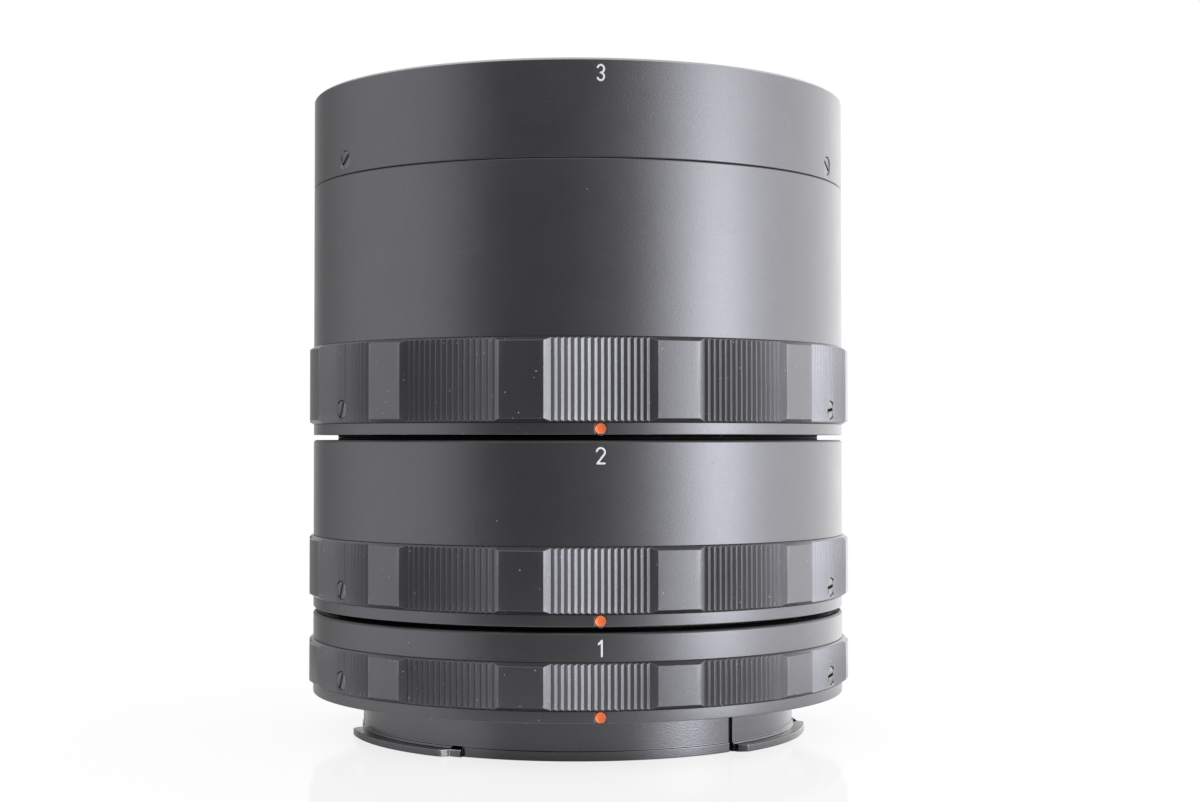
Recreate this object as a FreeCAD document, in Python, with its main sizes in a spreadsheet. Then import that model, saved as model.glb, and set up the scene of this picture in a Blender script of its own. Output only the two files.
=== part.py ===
import FreeCAD, Part
import math
import os
import re
import Sketcher
from FreeCAD import Placement, Rotation, Vector

# A set of three automatic extension tubes for a medium-format camera, stacked and locked.
# Each tube has its own frame: +Z runs up its axis and its lowest face, the end of its male bayonet,
# lies at z = 0. Bearings are degrees round +Z from the index mark, which faces -Y.

SIZES = (
    # Lengths from each tube's rear seat to its front seat
    ("length_1", 14.0),
    ("length_2", 28.0),
    ("length_3", 56.0),
    # Outer forms, each set from the barrel's radius
    ("barrel_radius", 44.0),
    ("edge_break", 0.3),
    ("seat_step", 0.4),
    ("waist_step", 1.0),
    ("fit_gap", 0.05),
    ("turn_gap", 0.1),
    ("pocket_gap", 0.2),
    # Barrel walls
    ("barrel_wall", 5.4),
    ("front_wall", 4.2),
    ("relief_wall", 2.4),
    ("relief_margin", 4.0),
    ("relief_slope", 1.0),
    # Grip rings
    ("grip_height_1", 7.7),
    ("grip_height_2", 10.5),
    ("grip_height_3", 13.2),
    ("grip_proud", 1.0),
    ("grip_chamfer", 0.55),
    ("land_drop", 0.42),
    ("land_slope", 1.08),
    ("tooth_depth", 0.22),
    ("tooth_pitch", 1.25),
    # Rear mount
    ("bayonet_depth", 6.4),
    ("bayonet_inset", 8.3),
    ("bayonet_wall", 2.5),
    ("band_proud", 0.2),
    ("band_height", 1.45),
    ("rear_flange", 2.2),
    ("register_wall", 1.2),
    ("register_height", 1.2),
    ("bed_width", 2.2),
    ("bed_floor", 0.8),
    ("lug_reach", 2.0),
    ("lug_height", 1.1),
    ("lug_angle", 44.0),
    ("key_slot_width", 0.8),
    ("key_slot_depth", 0.5),
    ("key_slot_offset", 1.2),
    ("block_reach", 0.9),
    ("block_rise", 0.4),
    ("block_angle", 3.6),
    ("block_offset", 1.0),
    # Front mount
    ("seat_inset", 4.0),
    ("rim_width", 1.4),
    ("lug_play", 0.3),
    ("channel_step", 0.5),
    ("front_flange", 1.2),
    ("skirt_reach", 0.3),
    ("claw_play", 0.15),
    ("claw_height", 1.8),
    ("claw_angle", 72.0),
    ("spring_leaf", 0.3),
    ("lug_spring_inset", 0.35),
    ("lug_spring_angle", 36.0),
    ("stop_pin_radius", 0.6),
    ("stop_pin_gap", 0.7),
    ("stop_pin_bearing", 156.6),
    ("stop_pin_rise", 0.65),
    # Lock and its release
    ("screw_inset", 2.7),
    ("lock_bearing", 246.0),
    ("lock_pin_radius", 0.7),
    ("lock_pin_reach", 1.2),
    ("latch_root_bearing", 226.0),
    ("latch_foot", 5.0),
    ("latch_overhang", 2.0),
    ("latch_play", 1.0),
    ("latch_inward", 1.2),
    ("latch_outward", 0.8),
    ("latch_depth", 4.9),
    ("latch_travel", 1.1),
    ("tongue_height", 1.15),
    ("tongue_angle", 1.6),
    ("button_bearing", 236.0),
    ("button_depth", 2.9),
    ("button_radius", 1.1),
    ("button_shoulder", 1.25),
    ("button_proud", 0.5),
    ("button_cone", 0.9),
    ("button_tip", 0.5),
    # Aperture transfer
    ("transfer_gap", 0.05),
    ("finger_thickness", 1.4),
    ("finger_angle", 5.0),
    ("arm_angle", 12.0),
    ("shelf_angle", 6.0),
    ("front_finger_bearing", 90.0),
    ("rear_finger_bearing", 95.4),
    ("rear_finger_low", 1.0),
    ("front_finger_gap", 0.4),
    ("arm_gap", 0.9),
    ("transfer_travel", 18.0),
    ("cover_height", 0.6),
    ("post_bearing", 166.0),
    ("post_inset", 2.2),
    ("post_radius", 0.8),
    ("post_height", 2.3),
    ("blade_height", 1.0),
    ("blade_lift", 1.0),
    ("blade_inset", 0.4),
    # Light baffle
    ("baffle_gap", 0.4),
    ("baffle_wall", 0.8),
    ("baffle_low", 0.8),
    ("baffle_flange", 0.8),
    ("baffle_rise", 0.7),
    ("baffle_slot_gap", 1.5),
    # Front collar of the longest tube
    ("collar_height", 14.7),
    ("collar_wall", 1.6),
    ("spigot_wall", 1.8),
    ("spigot_height", 6.0),
    ("seam_break", 0.15),
    # Screws and the index dot
    ("grip_screw_radius", 1.4),
    ("grip_screw_height", 2.15),
    ("grip_screw_bite", 0.7),
    ("grip_screw_sink", 0.6),
    ("collar_screw_height", 2.3),
    ("collar_screw_bite", 1.4),
    ("collar_screw_sink", 0.15),
    ("slot_width", 0.45),
    ("slot_depth", 0.6),
    ("screw_radius", 1.1),
    ("screw_length", 3.4),
    ("cover_screw_inset", 0.9),
    ("cover_screw_radius", 0.7),
    ("cover_screw_length", 1.8),
    ("cover_screw_proud", 0.3),
    ("dot_radius", 0.8),
    ("dot_height", 1.25),
    ("dot_well", 0.6),
    ("dot_proud", 0.08),
)
# Radii that follow from the barrel's and depths that follow from the bayonet's, through the walls
# and clearances above
DERIVED = {
    "waist_radius": "barrel_radius - waist_step",
    "barrel_bore": "barrel_radius - barrel_wall",
    "front_bore": "barrel_radius - front_wall",
    "relief_radius": "barrel_radius - relief_wall",
    "grip_radius": "barrel_radius + grip_proud",
    "bayonet_radius": "barrel_radius - bayonet_inset",
    "bayonet_bore": "bayonet_radius - bayonet_wall",
    "band_radius": "bayonet_radius + band_proud",
    "lug_radius": "bayonet_radius + lug_reach",
    "block_radius": "bayonet_radius + block_reach",
    "register_radius": "barrel_bore - turn_gap",
    "bed_radius": "bayonet_bore + bed_width",
    "seat_radius": "barrel_radius - seat_inset",
    "flange_radius": "barrel_radius - rim_width",
    "socket_radius": "lug_radius + lug_play",
    "channel_radius": "socket_radius + channel_step",
    "skirt_radius": "front_bore - pocket_gap",
    "claw_radius": "bayonet_radius + claw_play",
    "lug_spring_radius": "claw_radius + lug_spring_inset",
    "stop_pin_reach": "bayonet_radius + stop_pin_gap",
    "screw_place": "barrel_radius - screw_inset",
    "latch_inner": "screw_place - latch_inward",
    "latch_outer": "screw_place + latch_outward",
    "transfer_bore": "bayonet_bore + pocket_gap",
    "transfer_radius": "bed_radius - pocket_gap",
    "finger_radius": "bayonet_bore - pocket_gap",
    "finger_bore": "finger_radius - finger_thickness",
    "cover_radius": "register_radius - register_wall - turn_gap",
    "post_place": "cover_radius - post_inset",
    "cover_screw_place": "cover_radius - cover_screw_inset",
    "baffle_radius": "finger_bore - baffle_gap",
    "baffle_bore": "baffle_radius - baffle_wall",
    "spigot_radius": "barrel_radius - collar_wall",
    "grip_screw_point": "waist_radius - grip_screw_bite",
    "grip_screw_face": "grip_radius - grip_screw_sink",
    "collar_screw_point": "spigot_radius - collar_screw_bite",
    "collar_screw_face": "barrel_radius - collar_screw_sink",
    "skirt_depth": "bayonet_depth + skirt_reach",
    "claw_depth": "bayonet_depth - lug_height - claw_height - spring_leaf - pocket_gap",
    "stop_pin_depth": "bayonet_depth - stop_pin_rise",
    "front_finger_depth": "claw_depth + front_finger_gap",
    "arm_depth": "skirt_depth + baffle_flange + arm_gap",
}
# Names of the tubes, as marked on them
TUBES = ("1", "2", "3")
# Counts round the axis
LANDS = 12
TEETH_PER_LAND = 15
LUGS = 3
MOUNT_SCREWS = 5
# Bearings of what repeats
LUG_BEARINGS = (60.0, 180.0, 300.0)
MOUNT_SCREW_BEARINGS = tuple(54.0 + 360.0 / MOUNT_SCREWS * turn for turn in range(MOUNT_SCREWS))
COVER_SCREW_BEARINGS = (30.0, 150.0, 270.0)
SLOT_TURNS = (25.0, -40.0, 70.0)
# A cut starts, and an added form is rooted, this far past the face that it meets
OVERRUN = 0.5

doc = FreeCAD.newDocument("ExtensionTubes")
sheet = doc.addObject("Spreadsheet::Sheet", "Sizes")
for row, (alias, number) in enumerate(SIZES, start=1):
    sheet.set(f"A{row}", alias)
    sheet.set(f"B{row}", str(number))
    sheet.setAlias(f"B{row}", alias)
doc.recompute()
ALIASES = {alias for alias, number in SIZES}
nodes = []


def cell(word):
    """A name's cell on the sheet, or the expression that gives a derived size from its cells."""
    if word[0] in DERIVED:
        return f"({tied(DERIVED[word[0]])})"
    return "Sizes." + word[0] if word[0] in ALIASES else word[0]


def tied(formula):
    """The formula as an expression on the sheet."""
    return re.sub(r"[a-z]\w*", cell, formula)


def value(formula):
    """The number that a formula on the sheet's sizes gives."""
    return float(sheet.evalExpression(tied(formula)))


def seat(k):
    """Height of tube k's front seat in its own frame, as a formula."""
    return f"(bayonet_depth + length_{k})"


def level(k):
    """Height of tube k's frame in the stack: the tubes below it, seat to seat."""
    return sum(value(f"length_{below}") for below in TUBES if below < k)


def has_collar(k):
    """Only the longest tube has a front collar of its own."""
    return k == TUBES[-1]


def is_relieved(k):
    """Only the shortest tube is too short for a relief inside its barrel."""
    return k != TUBES[0]


def around(radius, bearing, height=0.0):
    """A point at a radius and a bearing from the index."""
    angle = math.radians(bearing - 90.0)
    return Vector(radius * math.cos(angle), radius * math.sin(angle), height)


def turned_to(shape, bearing):
    """A shape drawn along +X, swung to a bearing."""
    copy = shape.copy()
    copy.rotate(Vector(), Vector(0, 0, 1), bearing - 90.0)
    return copy


def keep(thing, k):
    """List a finished piece as a node and stand it at its tube's height."""
    thing.Placement = Placement(Vector(0, 0, level(k)), Rotation())
    nodes.append(thing)


def plain_piece(label, k, *solids):
    """A piece, or a group of equal pieces, whose solids are worked out directly."""
    piece = doc.addObject("Part::Feature", label)
    piece.Shape = Part.makeCompound(solids)
    keep(piece, k)


def new_body(label):
    return doc.addObject("PartDesign::Body", label)


def origin_part(body, role):
    """An origin plane or axis of the body, by its role."""
    return next(part for part in body.Origin.OriginFeatures if part.Role == role)


def new_sketch(body, name, role, bearing=90.0, shift=0.0):
    """A sketch in an origin plane, swung about +Z to a bearing and moved out along its normal."""
    sketch = body.newObject("Sketcher::SketchObject", name)
    sketch.AttachmentSupport = (origin_part(body, role), [""])
    sketch.MapMode = "FlatFace"
    upward = Vector(0, 0, 1) if role == "XY_Plane" else Vector(0, 1, 0)
    swing = Rotation(upward, bearing - 90.0)
    sketch.AttachmentOffset = Placement(swing.multVec(Vector(0, 0, shift)), swing)
    return sketch


def outline(body, name, corners, bearing=90.0):
    """A closed outline of (radius, height) formulas in the half plane at a bearing.

    Every corner is held by its two distances from the origin, each tied to the sheet.
    """
    sketch = new_sketch(body, name, "XZ_Plane", bearing)
    places = [Vector(value(out), value(up), 0) for out, up in corners]
    for place, following in zip(places, places[1:] + places[:1]):
        sketch.addGeometry(Part.LineSegment(place, following))
    for side in range(len(corners)):
        sketch.addConstraint(Sketcher.Constraint("Coincident", side, 2, (side + 1) % len(corners), 1))
    for side, formulas in enumerate(corners):
        for kind, formula in zip(("DistanceX", "DistanceY"), formulas):
            held = sketch.addConstraint(Sketcher.Constraint(kind, -1, 1, side, 1, value(formula)))
            sketch.setExpression(f"Constraints[{held}]", tied(formula))
    return sketch


def spin(body, kind, name, corners, angle="360", bearing=90.0):
    """Turn an outline about the axis: kind is Revolution to add it or Groove to cut it away.

    A part turn is centred on its bearing.
    """
    sketch = outline(body, name + "_outline", corners, bearing)
    feature = body.newObject("PartDesign::" + kind, name)
    feature.Profile = sketch
    feature.ReferenceAxis = (sketch, ["V_Axis"])
    feature.Midplane = angle != "360"
    feature.setExpression("Angle", tied(angle))
    sketch.Visibility = False
    return feature


def repeat(body, feature, count):
    """Copies of a feature, evenly round the axis."""
    pattern = body.newObject("PartDesign::PolarPattern", feature.Name + "_pattern")
    pattern.Originals = [feature]
    pattern.Axis = (origin_part(body, "Z_Axis"), [""])
    pattern.Angle = 360
    pattern.Occurrences = count
    body.Tip = pattern
    return pattern


def round_hole(body, name, sketch, across, up, radius, depth):
    """Pocket a circle whose centre is (across, up) in its sketch, along the sketch's normal."""
    centre = Vector(value(across), value(up), 0)
    sketch.addGeometry(Part.Circle(centre, Vector(0, 0, 1), value(radius)))
    held = sketch.addConstraint(Sketcher.Constraint("Radius", 0, value(radius)))
    sketch.setExpression(f"Constraints[{held}]", tied(radius))
    for kind, formula in (("DistanceX", across), ("DistanceY", up)):
        held = sketch.addConstraint(Sketcher.Constraint(kind, -1, 1, 0, 3, value(formula)))
        sketch.setExpression(f"Constraints[{held}]", tied(formula))
    pocket = body.newObject("PartDesign::Pocket", name)
    pocket.Profile = sketch
    pocket.Reversed = True
    pocket.setExpression("Length", tied(depth))
    sketch.Visibility = False
    return pocket


def radial_hole(body, name, bearing, height, radius, start, depth):
    """A hole along a radius, from the start radius outwards."""
    sketch = new_sketch(body, name + "_circle", "YZ_Plane", bearing, value(start))
    return round_hole(body, name, sketch, "0", height, radius, depth)


def axial_hole(body, name, bearing, place, radius, low, depth):
    """A hole parallel to the axis at a place radius, from its low end upwards."""
    sketch = new_sketch(body, name + "_circle", "XY_Plane", bearing, value(low))
    return round_hole(body, name, sketch, place, "0", radius, depth)


def front_end(k):
    """The corners shared by every front end, from its outer edge round to the baffle step."""
    top = f"{seat(k)} - seat_step"
    ledge = f"{seat(k)} - seat_step - front_flange"
    step = f"{seat(k)} - skirt_depth - baffle_flange"
    return [
        ("barrel_radius", f"{top} - edge_break"),
        ("barrel_radius - edge_break", top),
        ("flange_radius", top),
        ("flange_radius", ledge),
        ("front_bore", ledge),
        ("front_bore", step),
        ("barrel_bore", step),
    ]


def cut_front_features(body, k):
    """Pocket for the latch, hole for the release button and threaded holes for the mount screws."""
    ledge = f"{seat(k)} - seat_step - front_flange"
    inner = f"front_bore - {OVERRUN}"
    outer = "latch_outer + pocket_gap"
    root = f"{seat(k)} - latch_depth"
    floor = f"{root} - latch_travel"
    start = value("latch_root_bearing - latch_play")
    foot = value("latch_root_bearing + latch_foot")
    stop = value("lock_bearing + latch_overhang + latch_play")
    over = f"{ledge} + {OVERRUN}"
    shelf = [(inner, root), (outer, root), (outer, over), (inner, over)]
    spin(body, "Groove", "latch_shelf", shelf, str(stop - start), (start + stop) / 2)
    over = f"{root} + {OVERRUN}"
    well = [(inner, floor), (outer, floor), (outer, over), (inner, over)]
    spin(body, "Groove", "latch_well", well, str(stop - foot), (foot + stop) / 2)
    radial_hole(
        body,
        "button_hole",
        value("button_bearing"),
        f"{seat(k)} - button_depth",
        "button_radius + fit_gap",
        "latch_outer",
        f"barrel_radius - latch_outer + {OVERRUN}",
    )
    depth = "(screw_length - front_flange)"
    first = MOUNT_SCREW_BEARINGS[0]
    low = f"{ledge} - {depth}"
    hole = axial_hole(
        body, "front_screw_hole", first, "screw_place", "screw_radius", low, f"{depth} + {OVERRUN}"
    )
    repeat(body, hole, MOUNT_SCREWS)


def screw_set(body, name, start, outside, height):
    """Holes for three slotted screws through a wall, from the start radius to its outside."""
    reach = f"{outside} - ({start}) + {OVERRUN}"
    radius = "grip_screw_radius + fit_gap"
    hole = radial_hole(body, name + "_screw_hole", LUG_BEARINGS[0], height, radius, start, reach)
    repeat(body, hole, LUGS)


def barrel(k):
    """Turned shell: a waist under the grip ring, then the full radius up to the rim."""
    body = new_body(f"tube_{k}_barrel")
    low = "bayonet_depth + rear_flange"
    grip_top = f"{low} + grip_height_{k}"
    corners = [
        ("barrel_bore", low),
        ("waist_radius", low),
        ("waist_radius", grip_top),
        ("barrel_radius", grip_top),
    ]
    if has_collar(k):
        seam = f"{seat(k)} - seat_step - collar_height"
        spigot_top = f"{seam} + spigot_height"
        corners += [
            ("barrel_radius", f"{seam} - seam_break"),
            ("barrel_radius - seam_break", seam),
            ("spigot_radius", seam),
            ("spigot_radius", spigot_top),
            ("spigot_radius - spigot_wall", spigot_top),
            ("spigot_radius - spigot_wall", f"{seam} - relief_margin"),
            ("relief_radius", f"{seam} - relief_margin - relief_slope"),
        ]
    else:
        corners += front_end(k)
        if is_relieved(k):
            relief_top = f"{seat(k)} - skirt_depth - baffle_flange - relief_margin"
            corners += [("barrel_bore", relief_top), ("relief_radius", relief_top)]
    if is_relieved(k):
        corners += [("relief_radius", f"{low} + relief_margin"), ("barrel_bore", f"{low} + relief_margin")]
    spin(body, "Revolution", "shell", corners)
    depth = f"(screw_length - rear_flange + seat_step + {OVERRUN})"
    first = MOUNT_SCREW_BEARINGS[0]
    screw = axial_hole(
        body, "rear_screw_hole", first, "screw_place", "screw_radius", f"{low} - {OVERRUN}", depth
    )
    repeat(body, screw, MOUNT_SCREWS)
    screw_set(body, "grip", "grip_screw_point", "waist_radius", f"{low} + grip_screw_height")
    if has_collar(k):
        height = f"{seat(k)} - seat_step - collar_height + collar_screw_height"
        screw_set(body, "collar", "collar_screw_point", "spigot_radius", height)
    else:
        cut_front_features(body, k)
    keep(body, k)


def collar(k):
    """Front collar that slides over the barrel's spigot and carries the front mount."""
    body = new_body(f"tube_{k}_collar")
    seam = f"{seat(k)} - seat_step - collar_height"
    spigot_top = f"{seam} + spigot_height"
    corners = [
        ("spigot_radius + fit_gap", seam),
        ("barrel_radius - seam_break", seam),
        ("barrel_radius", f"{seam} + seam_break"),
        *front_end(k),
        ("barrel_bore", spigot_top),
        ("spigot_radius + fit_gap", spigot_top),
    ]
    spin(body, "Revolution", "shell", corners)
    screw_set(body, "collar", f"spigot_radius - {OVERRUN}", "barrel_radius", f"{seam} + collar_screw_height")
    cut_front_features(body, k)
    keep(body, k)


def toothed_outline(height):
    """The grip ring's outer line: smooth raised panels, and lands of sharp teeth sunk between them.

    Tooth n of a land stands at (n - (teeth - 1) / 2) pitches from the land's middle, with the roots of
    its grooves half a pitch to each side, and a slope runs from the outer roots up to the panels.
    """
    pitch = value("tooth_pitch")
    panel = value("grip_radius")
    root = value("grip_radius - land_drop")
    crest = root + value("tooth_depth")
    reach = pitch * TEETH_PER_LAND / 2
    edge = reach + math.degrees(value("land_slope") / panel)
    sides = []
    for land in range(LANDS):
        middle = land * 360.0 / LANDS
        points = [around(panel, middle - edge, height), around(root, middle - reach, height)]
        for tooth in range(TEETH_PER_LAND):
            bearing = middle - reach + (tooth + 0.5) * pitch
            points.append(around(crest, bearing, height))
            points.append(around(root, bearing + pitch / 2, height))
        points.append(around(panel, middle + edge, height))
        sides += [Part.LineSegment(start, end).toShape() for start, end in zip(points, points[1:])]
        panel_middle = middle + 180.0 / LANDS
        following = middle + 360.0 / LANDS - edge
        arc = [around(panel, bearing, height) for bearing in (middle + edge, panel_middle, following)]
        sides.append(Part.Arc(*arc).toShape())
    return Part.Wire(sides)


def grip_ring(k):
    """Knurled ring: a toothed bar trimmed to a turned profile with a chamfer at each end."""
    low = value("bayonet_depth + rear_flange")
    high = low + value(f"grip_height_{k}")
    inner = value("waist_radius + fit_gap")
    panel = value("grip_radius")
    chamfer = value("grip_chamfer")
    profile = [
        (inner, low),
        (panel - chamfer, low),
        (panel + OVERRUN, low + chamfer + OVERRUN),
        (panel + OVERRUN, high - chamfer - OVERRUN),
        (panel - chamfer, high),
        (inner, high),
        (inner, low),
    ]
    turned = Part.Face(Part.makePolygon([Vector(out, 0, up) for out, up in profile]))
    turned = turned.revolve(Vector(), Vector(0, 0, 1), 360)
    bar = Part.Face(toothed_outline(low)).extrude(Vector(0, 0, high - low))
    height = low + value("grip_screw_height")
    radius = value("grip_screw_radius + fit_gap")
    reach = panel - inner + 2 * OVERRUN
    hole = Part.makeCylinder(radius, reach, Vector(inner - OVERRUN, 0, height), Vector(1, 0, 0))
    holes = [turned_to(hole, bearing) for bearing in LUG_BEARINGS]
    ring = bar.common(turned).cut(Part.makeCompound(holes))
    plain_piece(f"tube_{k}_grip_ring", k, *ring.Solids)


def slotted_screw(radius, start, end, height, slot_turn):
    """A headless screw along +X with a slot across its outer face."""
    screw = Part.makeCylinder(radius, end - start, Vector(start, 0, height), Vector(1, 0, 0))
    width = value("slot_width")
    depth = value("slot_depth")
    slot = Part.makeBox(2 * depth, width, 4 * radius, Vector(end - depth, -width / 2, height - 2 * radius))
    slot.rotate(Vector(0, 0, height), Vector(1, 0, 0), slot_turn)
    return screw.cut(slot)


def ring_of_slotted_screws(label, k, start, end, height):
    """Three slotted screws, in line with the lugs, each left at its own slot angle."""
    radius = value("grip_screw_radius")
    screws = [slotted_screw(radius, value(start), value(end), value(height), turn) for turn in SLOT_TURNS]
    plain_piece(label, k, *[turned_to(screw, bearing) for screw, bearing in zip(screws, LUG_BEARINGS)])


def rear_mount(k):
    """Flange and male bayonet in one turned piece, with three lugs."""
    body = new_body(f"tube_{k}_rear_mount")
    step = "bayonet_depth + seat_step"
    top = "bayonet_depth + rear_flange"
    corners = [
        ("bayonet_bore", "0"),
        ("band_radius", "0"),
        ("band_radius", "band_height"),
        ("bayonet_radius", "band_height"),
        ("bayonet_radius", "bayonet_depth"),
        ("seat_radius", "bayonet_depth"),
        ("seat_radius", step),
        ("barrel_radius", step),
        ("barrel_radius", top),
        ("register_radius", top),
        ("register_radius", f"{top} + register_height"),
        ("register_radius - register_wall", f"{top} + register_height"),
        ("register_radius - register_wall", top),
        ("bed_radius", top),
        ("bed_radius", "bayonet_depth + bed_floor"),
        ("bayonet_bore", "bayonet_depth + bed_floor"),
    ]
    spin(body, "Revolution", "turned_body", corners)
    root = f"bayonet_radius - {OVERRUN}"
    lug = [(root, "0"), ("lug_radius", "0"), ("lug_radius", "lug_height"), (root, "lug_height")]
    repeat(body, spin(body, "Revolution", "lug", lug, "lug_angle", LUG_BEARINGS[0]), LUGS)
    block = [
        (root, "0"),
        ("block_radius", "0"),
        ("block_radius", "lug_height"),
        (root, "band_height + block_rise"),
    ]
    block_bearing = LUG_BEARINGS[1] + value("lug_angle / 2 + block_angle / 2 + block_offset")
    repeat(body, spin(body, "Revolution", "end_block", block, "block_angle", block_bearing), LUGS)
    floor = "bayonet_radius - key_slot_depth"
    outside = f"band_radius + {OVERRUN}"
    slot = [
        (floor, "band_height"),
        (outside, "band_height"),
        (outside, "bayonet_depth"),
        (floor, "bayonet_depth"),
    ]
    slot_angle = math.degrees(value("key_slot_width / bayonet_radius"))
    slot_bearing = LUG_BEARINGS[0] - value("lug_angle / 2 + key_slot_offset")
    repeat(body, spin(body, "Groove", "key_slot", slot, str(slot_angle), slot_bearing), LUGS)
    first = MOUNT_SCREW_BEARINGS[0]
    under = f"{step} - {OVERRUN}"
    through = f"rear_flange - seat_step + 2 * {OVERRUN}"
    screw = axial_hole(body, "screw_hole", first, "screw_place", "screw_radius + fit_gap", under, through)
    repeat(body, screw, MOUNT_SCREWS)
    notch = value("lock_bearing")
    radius = "lock_pin_radius + turn_gap"
    depth = f"lock_pin_reach - seat_step + pocket_gap + {OVERRUN}"
    axial_hole(body, "lock_notch", notch, "screw_place", radius, under, depth)
    radial_hole(
        body,
        "dot_well",
        0.0,
        "bayonet_depth + dot_height",
        "dot_radius + turn_gap",
        "barrel_radius - dot_well",
        f"dot_well + {OVERRUN}",
    )
    hole = axial_hole(
        body,
        "cover_screw_hole",
        COVER_SCREW_BEARINGS[0],
        "cover_screw_place",
        "cover_screw_radius",
        f"{top} - (cover_screw_length - cover_height)",
        f"cover_screw_length + {OVERRUN}",
    )
    repeat(body, hole, len(COVER_SCREW_BEARINGS))
    keep(body, k)


def ring_of_mount_screws(label, k, low):
    """Five screws that hold a mount to the barrel, as plain cylinders from their low end up."""
    place = value("screw_place")
    screw = Part.makeCylinder(value("screw_radius"), value("screw_length"), Vector(place, 0, value(low)))
    plain_piece(label, k, *[turned_to(screw, bearing) for bearing in MOUNT_SCREW_BEARINGS])


def index_dot(k):
    """Enamel dot in its well in the rear flange."""
    radius = value("dot_radius")
    start = value("barrel_radius - dot_well")
    length = value("dot_well + dot_proud")
    height = value("bayonet_depth + dot_height")
    dot = Part.makeCylinder(radius, length, Vector(start, 0, height), Vector(1, 0, 0))
    plain_piece(f"tube_{k}_index_dot", k, turned_to(dot, 0.0))


def front_mount(k):
    """Seat ring and female bayonet: a socket whose three claws hold the next tube's lugs."""
    body = new_body(f"tube_{k}_front_mount")
    top = seat(k)
    step = f"{top} - seat_step"
    ledge = f"{step} - front_flange"
    low = f"{top} - claw_depth - claw_height"
    high = f"{top} - claw_depth"
    corners = [
        ("channel_radius", f"{top} - skirt_depth"),
        ("skirt_radius", f"{top} - skirt_depth"),
        ("skirt_radius", ledge),
        ("flange_radius - fit_gap", ledge),
        ("flange_radius - fit_gap", step),
        ("seat_radius", step),
        ("seat_radius", top),
        ("socket_radius", top),
        ("socket_radius", high),
        ("channel_radius", high),
    ]
    spin(body, "Revolution", "turned_body", corners)
    root = f"channel_radius + {OVERRUN}"
    claw = [("claw_radius", low), (root, low), (root, high), ("claw_radius", high)]
    repeat(body, spin(body, "Revolution", "claw", claw, "claw_angle", LUG_BEARINGS[0]), LUGS)
    radial_hole(
        body,
        "stop_pin_hole",
        value("stop_pin_bearing"),
        f"{top} - stop_pin_depth",
        "stop_pin_radius",
        f"channel_radius - {OVERRUN}",
        f"skirt_radius - channel_radius + 2 * {OVERRUN}",
    )
    first = MOUNT_SCREW_BEARINGS[0]
    under = f"{ledge} - {OVERRUN}"
    through = f"front_flange + 2 * {OVERRUN}"
    screw = axial_hole(body, "screw_hole", first, "screw_place", "screw_radius + fit_gap", under, through)
    repeat(body, screw, MOUNT_SCREWS)
    lock = value("lock_bearing")
    axial_hole(body, "lock_pin_hole", lock, "screw_place", "lock_pin_radius + turn_gap", under, through)
    keep(body, k)


def sector(inner, outer, low, high, angle, bearing):
    """A block of a ring, centred on its bearing."""
    block = Part.makeCylinder(outer, high - low, Vector(0, 0, low), Vector(0, 0, 1), angle)
    block = block.cut(Part.makeCylinder(inner, high - low, Vector(0, 0, low)))
    block.rotate(Vector(), Vector(0, 0, 1), bearing - 90.0 - angle / 2)
    return block.Solids[0]


def lug_springs(k):
    """Three leaves under the claws, which pull the next tube's lugs up to the seat."""
    high = value(f"{seat(k)} - claw_depth - claw_height")
    low = high - value("spring_leaf")
    inner = value("lug_spring_radius")
    outer = value("channel_radius - pocket_gap")
    angle = value("lug_spring_angle")
    leaves = [sector(inner, outer, low, high, angle, bearing) for bearing in LUG_BEARINGS]
    plain_piece(f"tube_{k}_lug_springs", k, *leaves)


def stop_pin(k):
    """Radial pin in the skirt, which the next tube's lug meets at the locked place."""
    start = value("stop_pin_reach")
    length = value("skirt_radius") - start
    height = value(f"{seat(k)} - stop_pin_depth")
    pin = Part.makeCylinder(value("stop_pin_radius"), length, Vector(start, 0, height), Vector(1, 0, 0))
    plain_piece(f"tube_{k}_stop_pin", k, turned_to(pin, value("stop_pin_bearing")))


def latch_spring(k):
    """Leaf with the lock pin riveted near its free end, and a tongue that the button's cone rides on."""
    low = value(f"{seat(k)} - latch_depth")
    high = low + value("spring_leaf")
    inner = value("latch_inner")
    root = value("latch_root_bearing")
    lock = value("lock_bearing")
    tip = value("lock_bearing + latch_overhang")
    leaf = sector(inner, value("latch_outer"), low, high, tip - root, (tip + root) / 2)
    reach = value(f"{seat(k)} + lock_pin_reach") - high
    pin = Part.makeCylinder(value("lock_pin_radius"), reach, around(value("screw_place"), lock, high))
    top = high + value("tongue_height")
    outer = value("latch_outer - 2 * pocket_gap - button_cone")
    tongue = sector(inner, outer, high, top, value("tongue_angle"), value("button_bearing"))
    plain_piece(f"tube_{k}_latch_spring", k, *leaf.fuse([pin, tongue]).removeSplitter().Solids)


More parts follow.
